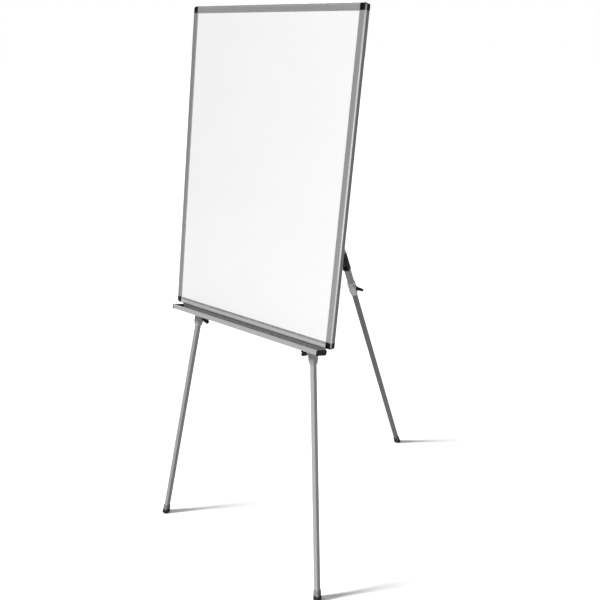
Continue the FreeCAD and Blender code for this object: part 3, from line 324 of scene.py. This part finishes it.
def shader_group(name, inputs, outputs):
    """A new node group: its graph, its given sockets and its result sockets."""
    tree = bpy.data.node_groups.new(name, "ShaderNodeTree")
    for label, kind in inputs.items():
        tree.interface.new_socket(name=label, in_out="INPUT", socket_type="NodeSocket" + kind)
    for label in outputs:
        tree.interface.new_socket(name=label, in_out="OUTPUT", socket_type="NodeSocketFloat")
    graph = Graph(tree)
    return graph, graph.add("NodeGroupInput").outputs, graph.add("NodeGroupOutput").inputs


def group_once(name, build):
    """The node group of that name, built the first time that it is asked for."""
    return bpy.data.node_groups.get(name) or build(name)


def build_edge_wear(name):
    """Wear is 1 minus the cosine between the surface and its rounded self, broken up by noise."""
    graph, given, result = shader_group(name, {"Width": "Float", "Patch Size": "Float"}, ("Wear",))
    rounded = graph.add("ShaderNodeBevel", {"Radius": given["Width"]}, samples=4).outputs[0]
    normal = graph.add("ShaderNodeNewGeometry").outputs["Normal"]
    cosine = graph.dot(rounded, normal)
    edge = graph.remap(cosine, FLAT_COSINE, WORN_COSINE, 0.0, 1.0)
    scale = graph.math("DIVIDE", 1.0, given["Patch Size"])
    patch = graph.remap(graph.noise(graph.point(), scale, detail=4.0), 0.38, 0.62, 0.25, 1.0)
    graph.feed(result["Wear"], graph.times(edge, patch, clamp=True))
    return graph.tree


def build_die_lines(name):
    """Lines are noise drawn out along Z by Stretch; Bands are the same, but broader."""
    graph, given, result = shader_group(
        name, {"Point": "Vector", "Pitch": "Float", "Stretch": "Float"}, ("Lines", "Bands"))
    across = graph.math("DIVIDE", 1.0, given["Pitch"])
    lengthways = graph.math("DIVIDE", across, given["Stretch"])
    scale = graph.add("ShaderNodeCombineXYZ", {0: across, 1: across, 2: lengthways}).outputs[0]
    drawn = graph.vector("MULTIPLY", given["Point"], scale)["Vector"]
    graph.feed(result["Lines"], graph.noise(drawn, scale=1.0, detail=3.0))
    graph.feed(result["Bands"], graph.noise(drawn, scale=1.0 / BAND_BREADTH))
    return graph.tree


def build_mould_grain(name):
    """Grain is fine cell noise, Flow the broad unevenness of a cooled moulding."""
    graph, given, result = shader_group(name, {"Size": "Float"}, ("Grain", "Flow"))
    point = graph.point()
    scale = graph.math("DIVIDE", 1.0, given["Size"])
    cells = graph.add("ShaderNodeTexVoronoi", {"Vector": point, "Scale": scale}).outputs["Distance"]
    fine = graph.noise(point, scale)
    graph.feed(result["Grain"], graph.times(cells, fine))
    broad = graph.math("DIVIDE", 1.0 / FLOW_BREADTH, given["Size"])
    graph.feed(result["Flow"], graph.noise(point, broad, detail=3.0))
    return graph.tree


def build_handling(name):
    """Smudge is soft blotches; Scratches are thin cell borders on a stretched and turned point."""
    graph, given, result = shader_group(name, {"Point": "Vector", "Size": "Float"}, ("Smudge", "Scratches"))
    scale = graph.math("DIVIDE", 1.0, given["Size"])
    blotch = graph.noise(given["Point"], scale, detail=5.0)
    graph.feed(result["Smudge"], graph.remap(blotch, 0.35, 0.70, 0.0, 1.0))
    layers = []
    for turn, stretch in ((0.5, 9.0), (-0.8, 14.0)):
        turned = graph.add("ShaderNodeMapping", {"Vector": given["Point"], "Rotation": (turn, turn, turn),
                                                 "Scale": (stretch, stretch, 1.0)}).outputs[0]
        border = graph.add("ShaderNodeTexVoronoi", {"Vector": turned, "Scale": scale},
                           feature="DISTANCE_TO_EDGE").outputs["Distance"]
        layers.append(graph.remap(border, 0.0, SCRATCH_WIDTH, 1.0, 0.0))
    graph.feed(result["Scratches"], graph.times(*layers))
    return graph.tree


def build_floor_dust(name):
    """Dust falls off with the square of the height above the floor, broken up by noise."""
    graph, given, result = shader_group(name, {"Height": "Float"}, ("Dust",))
    point = graph.point()
    up = graph.part(point, "Z")
    low = graph.math("SUBTRACT", 1.0, graph.math("DIVIDE", up, given["Height"]), clamp=True)
    patch = graph.remap(graph.noise(point, scale=160.0, detail=5.0), 0.40, 0.75, 0.15, 1.0)
    graph.feed(result["Dust"], graph.times(graph.times(low, low), patch))
    return graph.tree


def edge_wear(graph, width, patch_size=0.02):
    """1 where an edge is worn."""
    group = group_once("Edge wear", build_edge_wear)
    return graph.effect(group, {"Width": width, "Patch Size": patch_size})["Wear"]


def die_lines(graph, axis, pitch, stretch=400.0):
    """The Lines and Bands that a die leaves along axis."""
    group = group_once("Die lines", build_die_lines)
    return graph.effect(group, {"Point": graph.along(axis), "Pitch": pitch, "Stretch": stretch})


def mould_grain(graph, size):
    """The Grain and Flow of a moulding."""
    return graph.effect(group_once("Mould grain", build_mould_grain), {"Size": size})


def handling(graph, size):
    """The Smudge and Scratches of use."""
    return graph.effect(group_once("Handling", build_handling), {"Point": graph.point(), "Size": size})


def floor_dust(graph, height):
    """How thick the floor's dust lies."""
    return graph.effect(group_once("Floor dust", build_floor_dust), {"Height": height})["Dust"]


def tone(base, factor):
    """A colour times a factor, held under 1, with its alpha."""
    return tuple(min(1.0, channel * factor) for channel in base) + (1.0,)


# Masks of dust, painted shade and a painted highlight, each made from a graph and the surface settings

def lower_dust(graph, surface):
    """Floor dust on the lower end of a tube."""
    return floor_dust(graph, surface.dust_height)


def patchy_shade(graph, surface, cover):
    """The mask cover, broken up by smear-like noise: the patches of the painted shade."""
    smears = graph.noise(graph.point(), scale=1.0 / surface.shade_patch, detail=5.0)
    return graph.times(cover, graph.spread(smears, 0.6, 1.0))


def rail_joint_shade(graph, surface):
    """1 along the lower rail's inner edge, at its joint with the board, and less below it: painted shade.
    """
    height = graph.dot(graph.seen_from(BOARD_FOOT), BOARD_UP)
    lowest, full = RAIL_FACE - RAIL_SHADE_WIDTH, RAIL_FACE - RAIL_SHADE_WIDTH / 2
    return patchy_shade(graph, surface, graph.remap(height, lowest, full, 0.0, 1.0))


def trough_shade(graph, surface):
    """1 on the tray's back wall and along the foot of it, in the recess under the rail, broken up by noise:
    painted shade.
    """
    place = graph.seen_from(TRAY_HEEL)
    forward = graph.dot(place, TRAY_FORWARD)
    up = graph.dot(place, TRAY_UP)
    from_wall = graph.math("SUBTRACT", forward, graph.times(up, math.tan(TRAY_TILT)))
    near = graph.remap(from_wall, HEEL_FULL, HEEL_SHADE_END, 1.0, 0.0)
    ahead = graph.remap(from_wall, UNDER_FACE, AT_FACE, 0.0, 1.0)
    over = graph.remap(up, UNDER_FACE, AT_FACE, 0.0, 1.0)
    return patchy_shade(graph, surface, graph.times(graph.times(near, ahead), over))


def outer_side_shade(graph, surface):
    """1 on the flat outer sides of the side rails, where dark shade is painted."""
    across = graph.math("ABSOLUTE", graph.part(graph.point(), "X"))
    return graph.remap(across, BOARD_HALF - SIDE_EDGE, BOARD_HALF - SIDE_EDGE / 4, 0.0, 1.0)


def corner_highlight(graph, surface):
    """1 along the rounding between the front and the outer side of a corner piece: a painted highlight."""
    place = graph.seen_from(BOARD_FOOT)
    across = graph.math("ABSOLUTE", graph.part(place, "X"))
    depth = graph.dot(place, BOARD_BACK)
    outward = graph.remap(across, BOARD_HALF - EDGE_RADIUS, BOARD_HALF, 0.0, 1.0)
    forward = graph.remap(depth, EDGE_RADIUS, 0.0, 0.0, 1.0)
    return graph.remap(graph.times(outward, forward), HIGHLIGHT_START, HIGHLIGHT_FULL, 0.0, 1.0)


class DirtAndLightLayer:
    """A layer on a finish, floor dust on the tubes and painted light and shade elsewhere: the mask that
    says where it lies, its colour, and how much of it shows.
    """

    def __init__(self, where, tint, share):
        self.where = where
        self.tint = tint
        self.share = share


def with_dirt_and_light(graph, surface, base, dirt_and_light_layer):
    """The colour base under the layer, and the mask that says where the layer lies."""
    cover = dirt_and_light_layer.where(graph, surface)
    return graph.mix(graph.times(cover, dirt_and_light_layer.share), base, tone(dirt_and_light_layer.tint, 1.0)), cover


# Finishes

def finish(name):
    """A new material with an empty Principled shader: the material, its graph and the shader's sockets."""
    material = bpy.data.materials.new(name)
    graph = empty_graph(material)
    shader = graph.add("ShaderNodeBsdfPrincipled")
    graph.add("ShaderNodeOutputMaterial", {"Surface": shader.outputs["BSDF"]})
    return material, graph, shader.inputs


def enamel(colours, surface):
    """Glossy enamel: wiping marks change its gloss, and a slight orange peel its surface."""
    material, graph, sockets = finish("Dry-wipe enamel")
    marks = die_lines(graph, WIPE_AXIS, surface.wipe, stretch=9.0)
    worn = handling(graph, size=0.22)
    ghost = graph.times(worn["Smudge"], marks["Lines"])
    clean, wiped = tone(colours.enamel, 1.0), tone(colours.enamel, 0.965)
    graph.feed(sockets["Base Color"], graph.mix(ghost, clean, wiped))
    graph.feed(sockets["Roughness"], graph.spread(marks["Lines"], 0.13, 0.24))
    graph.feed(sockets["Normal"], graph.bump(graph.noise(graph.point(), scale=420.0), distance=0.00003))
    sockets["Coat Weight"].default_value = 0.25
    sockets["Coat Roughness"].default_value = 0.05
    return material


def backing(colours, surface):
    """Embossed foil: rounded pebbles, with a broad change of tone from the roll."""
    material, graph, sockets = finish("Embossed backing")
    point = graph.point()
    pebble = graph.add("ShaderNodeTexVoronoi", {"Vector": point, "Scale": 1.0 / surface.emboss},
                       feature="SMOOTH_F1").outputs["Distance"]
    roll = graph.noise(point, scale=5.0, detail=3.0)
    worn = handling(graph, size=0.15)
    dark, pale, scratched = (tone(colours.foil, factor) for factor in (0.90, 1.08, 1.3))
    base = graph.mix(graph.spread(roll), dark, pale)
    graph.feed(sockets["Base Color"], graph.mix(worn["Scratches"], base, scratched))
    graph.feed(sockets["Roughness"], graph.remap(worn["Smudge"], 0.0, 1.0, 0.40, 0.55))
    graph.feed(sockets["Normal"], graph.bump(pebble, distance=0.0008))
    sockets["Metallic"].default_value = 0.35
    return material


def fibre_core(colours):
    """Fibre board: matted threads of two tones."""
    material, graph, sockets = finish("Fibre core")
    threads = graph.noise(graph.point(), scale=900.0, detail=6.0)
    dark, pale = tone(colours.fibre, 0.7), tone(colours.fibre, 1.25)
    graph.feed(sockets["Base Color"], graph.mix(graph.spread(threads), dark, pale))
    graph.feed(sockets["Roughness"], graph.spread(threads, 0.8, 0.95))
    graph.feed(sockets["Normal"], graph.bump(threads, distance=0.0002))
    return material


def extrusion(name, base, axis, surface, metallic, dirt_and_light_layer=None):
    """Satin anodised metal drawn along axis: die lines, bright worn edges, and a given layer: floor dust on
    the leg tubes, painted shade on the rails and the tray.
    """
    material, graph, sockets = finish(name)
    drawn = die_lines(graph, axis, surface.die_pitch)
    worn = handling(graph, size=0.06)
    wear = edge_wear(graph, surface.wear_width)
    dark, pale, scratched, polished = (tone(base, factor) for factor in (0.92, 1.08, 1.5, 1.7))
    body = graph.mix(graph.spread(drawn["Bands"]), dark, pale)
    marked = graph.mix(graph.times(worn["Scratches"], 0.5), body, scratched)
    shown = graph.mix(graph.times(wear, 0.6), marked, polished)
    satin = graph.remap(drawn["Lines"], 0.25, 0.75, 0.20, 0.32)
    rough = graph.math("ADD", satin, graph.times(worn["Smudge"], 0.06))
    if dirt_and_light_layer is not None:
        shown, cover = with_dirt_and_light(graph, surface, shown, dirt_and_light_layer)
        rough = graph.math("ADD", rough, graph.times(cover, 0.3))
    graph.feed(sockets["Base Color"], shown)
    graph.feed(sockets["Roughness"], rough)
    graph.feed(sockets["Normal"], graph.bump(drawn["Lines"], distance=0.00003))
    sockets["Metallic"].default_value = metallic
    sockets["Specular IOR Level"].default_value = DULL_GLOSS
    return material


def moulding(name, base, surface, smooth, rough, wear_tone=3.0, shine=BLACK_GLOSS, dirt_and_light_layer=None):
    """Moulded plastic: fine grain, a roughness from smooth to rough, and paler worn edges; the corners'
    layer is a painted highlight.
    """
    material, graph, sockets = finish(name)
    grain = mould_grain(graph, surface.grain)
    worn = handling(graph, size=0.03)
    wear = edge_wear(graph, surface.wear_width, patch_size=0.008)
    dark, pale, wear_and_highlight = (tone(base, factor) for factor in (0.85, 1.2, wear_tone))
    body = graph.mix(graph.spread(grain["Flow"]), dark, pale)
    edged = graph.mix(graph.times(wear, 0.45), body, wear_and_highlight)
    shown = graph.mix(graph.times(worn["Scratches"], 0.3), edged, wear_and_highlight)
    if dirt_and_light_layer is not None:
        shown, _ = with_dirt_and_light(graph, surface, shown, dirt_and_light_layer)
    graph.feed(sockets["Base Color"], shown)
    graph.feed(sockets["Roughness"], graph.remap(worn["Smudge"], 0.0, 1.0, smooth, rough))
    graph.feed(sockets["Normal"], graph.bump(grain["Grain"], distance=surface.grain * 0.12))
    sockets["Specular IOR Level"].default_value = shine
    return material


def rubber_foot(name, sleeve, colours, surface):
    """A black rubber sole under a sleeve of the tube's grey, which carries the tube's painted light and
    shade: dull, scuffed on its edges, dusty low down.
    """
    material, graph, sockets = finish(name)
    grain = mould_grain(graph, surface.grain * 1.5)
    wear = edge_wear(graph, surface.wear_width * 1.5, patch_size=0.006)
    cover = floor_dust(graph, surface.dust_height * 0.3)
    dark, pale, scuff = (tone(colours.rubber, factor) for factor in (0.8, 1.4, 5.0))
    flow = graph.spread(grain["Flow"])
    scuffed = graph.mix(graph.times(wear, 0.4), graph.mix(flow, dark, pale), scuff)
    dusty = graph.mix(graph.times(cover, 0.25), scuffed, tone(colours.dust, 1.0))
    height = graph.part(graph.point(), "Z")
    above = graph.remap(height, SOLE_HEIGHT - SOLE_EDGE, SOLE_HEIGHT, 0.0, 1.0)
    grey_sleeve = graph.mix(flow, tone(sleeve, 0.60), tone(sleeve, 0.70))
    graph.feed(sockets["Base Color"], graph.mix(above, dusty, grey_sleeve))
    graph.feed(sockets["Roughness"], graph.spread(grain["Flow"], 0.62, 0.82))
    graph.feed(sockets["Normal"], graph.bump(grain["Grain"], distance=surface.grain * 0.25))
    sockets["Specular IOR Level"].default_value = DULL_GLOSS
    return material


def plating(name, base, surface, metallic=0.75):
    """Zinc plate: cloudy passivation and bright worn edges."""
    material, graph, sockets = finish(name)
    point = graph.point()
    cloud = graph.spread(graph.noise(point, scale=350.0, detail=4.0))
    wear = edge_wear(graph, surface.wear_width * 0.5, patch_size=0.004)
    dark, pale, polished = (tone(base, factor) for factor in (0.75, 1.1, 1.5))
    body = graph.mix(cloud, dark, pale)
    graph.feed(sockets["Base Color"], graph.mix(graph.times(wear, 0.7), body, polished))
    graph.feed(sockets["Roughness"], graph.remap(cloud, 0.0, 1.0, 0.28, 0.45))
    graph.feed(sockets["Normal"], graph.bump(graph.noise(point, scale=2500.0), distance=0.00001))
    sockets["Metallic"].default_value = metallic
    return material


def powder_coat(colours, surface):
    """Powder coat: an orange peel of small rounded lumps, rubbed thin along its edges."""
    material, graph, sockets = finish("Powder coat")
    peel = graph.noise(graph.point(), scale=900.0, detail=1.0)
    worn = handling(graph, size=0.05)
    wear = edge_wear(graph, surface.wear_width, patch_size=0.01)
    dark, pale, wear_and_highlight = (tone(colours.coated_metal, factor) for factor in (0.9, 1.15, 2.2))
    body = graph.mix(worn["Smudge"], dark, pale)
    graph.feed(sockets["Base Color"], graph.mix(graph.times(wear, 0.5), body, wear_and_highlight))
    graph.feed(sockets["Roughness"], graph.remap(worn["Smudge"], 0.0, 1.0, 0.42, 0.56))
    graph.feed(sockets["Normal"], graph.bump(peel, distance=0.00012))
    return material


# Operators

def dress(material, *names):
    """Gives CAD nodes a material in each of their slots."""
    for name in names:
        for slot in NODES[name].material_slots:
            slot.material = material


def looks(context):
    """The settings that every finish is made from: the colours and the sizes of the marks."""
    return context.scene.easel_finish, context.scene.easel_surface


class EASEL_OT_dress_panel(bpy.types.Operator):
    """Finish the writing sheet, the fibre core and the backing sheet"""

    bl_idname = "easel.dress_panel"
    bl_label = "Panel"

    def execute(self, context):
        colours, surface = looks(context)
        dress(enamel(colours, surface), "writing_sheet")
        dress(fibre_core(colours), "panel_core")
        dress(backing(colours, surface), "backing_sheet")
        return {"FINISHED"}


class EASEL_OT_dress_frame(bpy.types.Operator):
    """Finish the four rails, the pen tray, the corner pieces and the tray's end caps"""

    bl_idname = "easel.dress_frame"
    bl_label = "Frame and tray"

    def execute(self, context):
        colours, surface = looks(context)
        # sides: painted shade on the side rails' outer sides.
        sides = DirtAndLightLayer(outer_side_shade, colours.side_shade_colour, SIDE_SHADE_SHARE)
        # The left rail gets a darker copy of the rail grey, which paints shade.
        for side, base in (("left", colours.left_rail_shade_tone), ("right", colours.frame_metal)):
            upright = extrusion("Anodised %s rail" % side, base, BOARD_UP, surface, RAIL_METALLIC, sides)
            dress(upright, side + "_rail")
        level = (
            ("top_rail", "Anodised top rail", colours.frame_metal, RAIL_METALLIC, None),
            # The lower rail's paler grey paints a highlight.
            ("bottom_rail", "Anodised lower rail", colours.lower_rail_highlight_tone, LOWER_METALLIC,
             # The lower rail's dark band along the board is painted shade at the joint.
             DirtAndLightLayer(rail_joint_shade, colours.shade_tint, RAIL_SHADE_SHARE)),
            ("pen_tray", "Anodised tray", colours.tray_metal, TRAY_METALLIC,
             # The dark band on the tray's back wall is painted shade under the rail.
             DirtAndLightLayer(trough_shade, colours.shade_tint, TRAY_SHADE_SHARE)),
        )
        for node, name, base, metallic, dirt_and_light_layer in level:
            dress(extrusion(name, base, X_AXIS, surface, metallic, dirt_and_light_layer), node)
        # The corners' grey band along the rounded outer edge is a painted highlight.
        corner = moulding("Black corner", colours.plastic, surface, smooth=0.16, rough=0.30,
                          dirt_and_light_layer=DirtAndLightLayer(corner_highlight, colours.wear_and_highlight, HIGHLIGHT_SHARE))
        dress(corner, "corner_top_left", "corner_top_right", "corner_bottom_left", "corner_bottom_right")
        cap = moulding("Black cap", colours.plastic, surface, smooth=0.22, rough=0.36)
        dress(cap, "tray_cap_left", "tray_cap_right")
        return {"FINISHED"}


class EASEL_OT_dress_legs(bpy.types.Operator):
    """Finish the leg tubes and their plugs, each tube along its own axis"""

    bl_idname = "easel.dress_legs"
    bl_label = "Legs"

    def execute(self, context):
        colours, surface = looks(context)
        plug = moulding("Black plug", colours.plastic, surface, smooth=0.40, rough=0.55)
        nylon = moulding("Natural nylon", colours.nylon, surface, smooth=0.38, rough=0.50,
                         wear_tone=1.2, shine=DULL_GLOSS)
        dusty = DirtAndLightLayer(lower_dust, colours.dust, TUBE_DUST_SHARE)
        for leg in LEGS:
            # base: the tube's grey, with painted light on the right leg and painted shade on the left and
            # rear legs.
            axis, base = LEG_AXES[leg], getattr(colours, leg + "_tube")
            outer = extrusion("Outer tube " + leg, colours.outer_metal, axis, surface, OUTER_METALLIC)
            inner = extrusion("Inner tube " + leg, base, axis, surface, INNER_METALLIC, dusty)
            dress(outer, leg + "_outer_tube")
            dress(inner, leg + "_inner_tube")
            dress(plug, leg + "_tube_plug")
            dress(nylon, leg + "_guide_plug")
        dress(plug, "tube_pads")
        dress(nylon, "hinge_bush", "hinge_washers")
        return {"FINISHED"}


class EASEL_OT_dress_clamps(bpy.types.Operator):
    """Finish the clamp collars, knobs, nuts, studs and shoes, and the fold sleeve"""

    bl_idname = "easel.dress_clamps"
    bl_label = "Clamps"

    def execute(self, context):
        colours, surface = looks(context)
        collar = moulding("Grey collar", colours.collar, surface, smooth=0.36, rough=0.50,
                          wear_tone=1.5, shine=DULL_GLOSS)
        knob = moulding("Black knob", colours.plastic, surface, smooth=0.24, rough=0.40)
        sleeve = moulding("Black sleeve", colours.plastic, surface, smooth=0.34, rough=0.50)
        plated = plating("Plated clamp", colours.plated_metal, surface)
        for leg in LEGS:
            dress(collar, leg + "_collar")
            dress(knob, leg + "_knob")
            dress(plated, leg + "_clamp_nut", leg + "_clamp_stud")
            dress(sleeve, leg + "_clamp_shoe")
        dress(sleeve, "fold_sleeve")
        return {"FINISHED"}


class EASEL_OT_dress_feet(bpy.types.Operator):
    """Finish the three rubber feet"""

    bl_idname = "easel.dress_feet"
    bl_label = "Feet"

    def execute(self, context):
        colours, surface = looks(context)
        for leg in LEGS:
            # sleeve: the leg's tube grey, with its painted light and shade.
            sleeve = getattr(colours, leg + "_tube")
            dress(rubber_foot("Foot " + leg, sleeve, colours, surface), leg + "_foot")
        return {"FINISHED"}


class EASEL_OT_dress_head(bpy.types.Operator):
    """Finish the head plate, the straps, the hinge and every screw and rivet"""

    bl_idname = "easel.dress_head"
    bl_label = "Head and fasteners"

    def execute(self, context):
        colours, surface = looks(context)
        dress(powder_coat(colours, surface), "head_plate", "tube_straps", "hinge_bracket")
        dress(plating("Plated bolt", colours.plated_metal, surface), "hinge_bolt", "hinge_nut")
        dress(plating("Plated screw", colours.plated_metal, surface, SCREW_METALLIC),
              "corner_screws", "tray_screws", "head_plate_screws", "strap_screws")
        dress(plating("Plain rivet", colours.rivet_metal, surface, RIVET_METALLIC),
              "bracket_rivets", "front_collar_rivets", "rear_collar_rivet")
        return {"FINISHED"}


# Stage

def seen_directly(graph):
    """1 for camera, glossy and transmission rays, which show the background as white, else 0."""
    path = graph.add("ShaderNodeLightPath").outputs
    seen = graph.math("MAXIMUM", path["Is Camera Ray"], path["Is Glossy Ray"])
    return graph.math("MAXIMUM", seen, path["Is Transmission Ray"])


def grey(level):
    """A grey with its alpha."""
    return neutral(level) + (1.0,)


def white_room(stage):
    """A world that looks white and lights the easel at the room's own level."""
    world = bpy.data.worlds.new("White room")
    graph = empty_graph(world)
    strength = graph.remap(seen_directly(graph), 0.0, 1.0, stage.ambient, 1.0)
    background = graph.add("ShaderNodeBackground", {"Color": grey(1.0), "Strength": strength})
    graph.add("ShaderNodeOutputWorld", {"Surface": background.outputs[0]})
    return world


def pale_floor(stage):
    """A flat square on Z 0, pale to the light and white to the eye where the floor lamp reaches it."""
    unit_square = np.array(((-1, -1, 0), (1, -1, 0), (1, 1, 0), (-1, 1, 0)), dtype=float)
    corners = unit_square * stage.floor_half
    mesh = bpy.data.meshes.new("floor")
    mesh.from_pydata(corners.tolist(), [], [(0, 1, 2, 3)])
    floor = bpy.data.objects.new("floor", mesh)
    material = bpy.data.materials.new("Pale floor")
    graph = empty_graph(material)
    pale = graph.add("ShaderNodeBsdfDiffuse", {"Color": grey(stage.floor_bounce)}).outputs[0]
    white = graph.add("ShaderNodeBsdfDiffuse", {"Color": grey(stage.floor_white)}).outputs[0]
    mixed = graph.add("ShaderNodeMixShader", {0: seen_directly(graph), 1: pale, 2: white}).outputs[0]
    graph.add("ShaderNodeOutputMaterial", {"Surface": mixed})
    mesh.materials.append(material)
    return floor


def light_rule(name, state, *items):
    """A set of objects, which a lamp lights alone or leaves out."""
    lit = bpy.data.collections.new(name)
    for item in items:
        lit.objects.link(item)
    for member in lit.collection_objects:
        member.light_linking.link_state = state
    return lit


def sun_lamp(stage, name, lit):
    """A far lamp from the stage's settings of that name, which lights what lit says."""
    data = bpy.data.lights.new(name + "_lamp", "SUN")
    data.energy = getattr(stage, name + "_strength")
    data.angle = getattr(stage, name + "_angle")
    lamp = bpy.data.objects.new(name + "_lamp", data)
    shines_from = Vector(getattr(stage, name + "_from"))
    lamp.rotation_euler = (-shines_from).to_track_quat("-Z", "Y").to_euler()
    lamp.light_linking.receiver_collection = lit
    return lamp


def soft_box(stage, lit):
    """An upright area lamp that faces the board, out of the camera's sight."""
    data = bpy.data.lights.new("soft_box", "AREA")
    data.shape = "RECTANGLE"
    data.size = stage.box_width
    data.size_y = stage.box_height
    data.energy = stage.box_power
    lamp = bpy.data.objects.new("soft_box", data)
    lamp.location = stage.box_place
    aim = Vector((-stage.box_place[0], -stage.box_place[1], 0.0))
    lamp.rotation_euler = aim.to_track_quat("-Z", "Y").to_euler()
    lamp.light_linking.receiver_collection = lit
    lamp.visible_camera = False
    return lamp


def photo_camera(stage):
    """A level camera: it looks along its azimuth and down by its pitch."""
    data = bpy.data.cameras.new("camera")
    data.lens = stage.lens
    azimuth, pitch = stage.camera_azimuth, stage.camera_pitch
    level = math.cos(pitch)
    look = Vector((-math.sin(azimuth) * level, math.cos(azimuth) * level, -math.sin(pitch)))
    camera = bpy.data.objects.new("camera", data)
    camera.location = stage.camera_place
    camera.rotation_euler = look.to_track_quat("-Z", "Y").to_euler()
    return camera


class EASEL_OT_set_stage(bpy.types.Operator):
    """Make the white room, the floor, the lamps and the camera"""

    bl_idname = "easel.set_stage"
    bl_label = "Stage"

    def execute(self, context):
        scene = context.scene
        stage = scene.easel_stage
        scene.view_settings.view_transform = "Standard"
        scene.world = white_room(stage)
        floor = pale_floor(stage)
        front_legs = [NODES[leg + part] for leg in FRONT_LEGS for part in LOWER_PARTS]
        easel_only = light_rule("Lit without the floor", "EXCLUDE", floor)
        above_legs = light_rule("Lit without the front legs", "EXCLUDE", floor, *front_legs)
        floor_only = light_rule("Lit floor", "INCLUDE", floor)
        lamps = [sun_lamp(stage, name, easel_only) for name in ("key", "back")]
        lamps.append(soft_box(stage, above_legs))
        lamps.append(sun_lamp(stage, "floor", floor_only))
        camera = photo_camera(stage)
        for item in (floor, *lamps, camera):
            scene.collection.objects.link(item)
        scene.camera = camera
        return {"FINISHED"}


# Add-on

class EASEL_PT_sidebar(bpy.types.Panel):
    """The easel's settings and the steps that dress it"""

    bl_idname = "EASEL_PT_sidebar"
    bl_label = "Whiteboard Easel"
    bl_space_type = "VIEW_3D"
    bl_region_type = "UI"
    bl_category = "Easel"

    def draw(self, context):
        layout = self.layout
        for group in SETTINGS:
            settings = getattr(context.scene, group)
            column = layout.column(align=True)
            for name in settings.__annotations__:
                column.prop(settings, name)
        column = layout.column(align=True)
        for operator in OPERATORS:
            column.operator(operator.bl_idname, text=operator.bl_label)


SETTINGS = {"easel_finish": EaselFinish, "easel_surface": EaselSurface, "easel_stage": EaselStage}
OPERATORS = (
    EASEL_OT_set_stage,
    EASEL_OT_dress_panel,
    EASEL_OT_dress_frame,
    EASEL_OT_dress_legs,
    EASEL_OT_dress_clamps,
    EASEL_OT_dress_feet,
    EASEL_OT_dress_head,
)


def register():
    for item in (*SETTINGS.values(), *OPERATORS, EASEL_PT_sidebar):
        bpy.utils.register_class(item)
    for name, kind in SETTINGS.items():
        setattr(bpy.types.Scene, name, bpy.props.PointerProperty(type=kind))


def unregister():
    for name in SETTINGS:
        delattr(bpy.types.Scene, name)
    for item in (EASEL_PT_sidebar, *reversed(OPERATORS), *reversed(SETTINGS.values())):
        bpy.utils.unregister_class(item)


def main():
    register()
    bpy.ops.easel.set_stage()
    bpy.ops.easel.dress_panel()
    bpy.ops.easel.dress_frame()
    bpy.ops.easel.dress_legs()
    bpy.ops.easel.dress_clamps()
    bpy.ops.easel.dress_feet()
    bpy.ops.easel.dress_head()


if __name__ == "__main__":
    main()
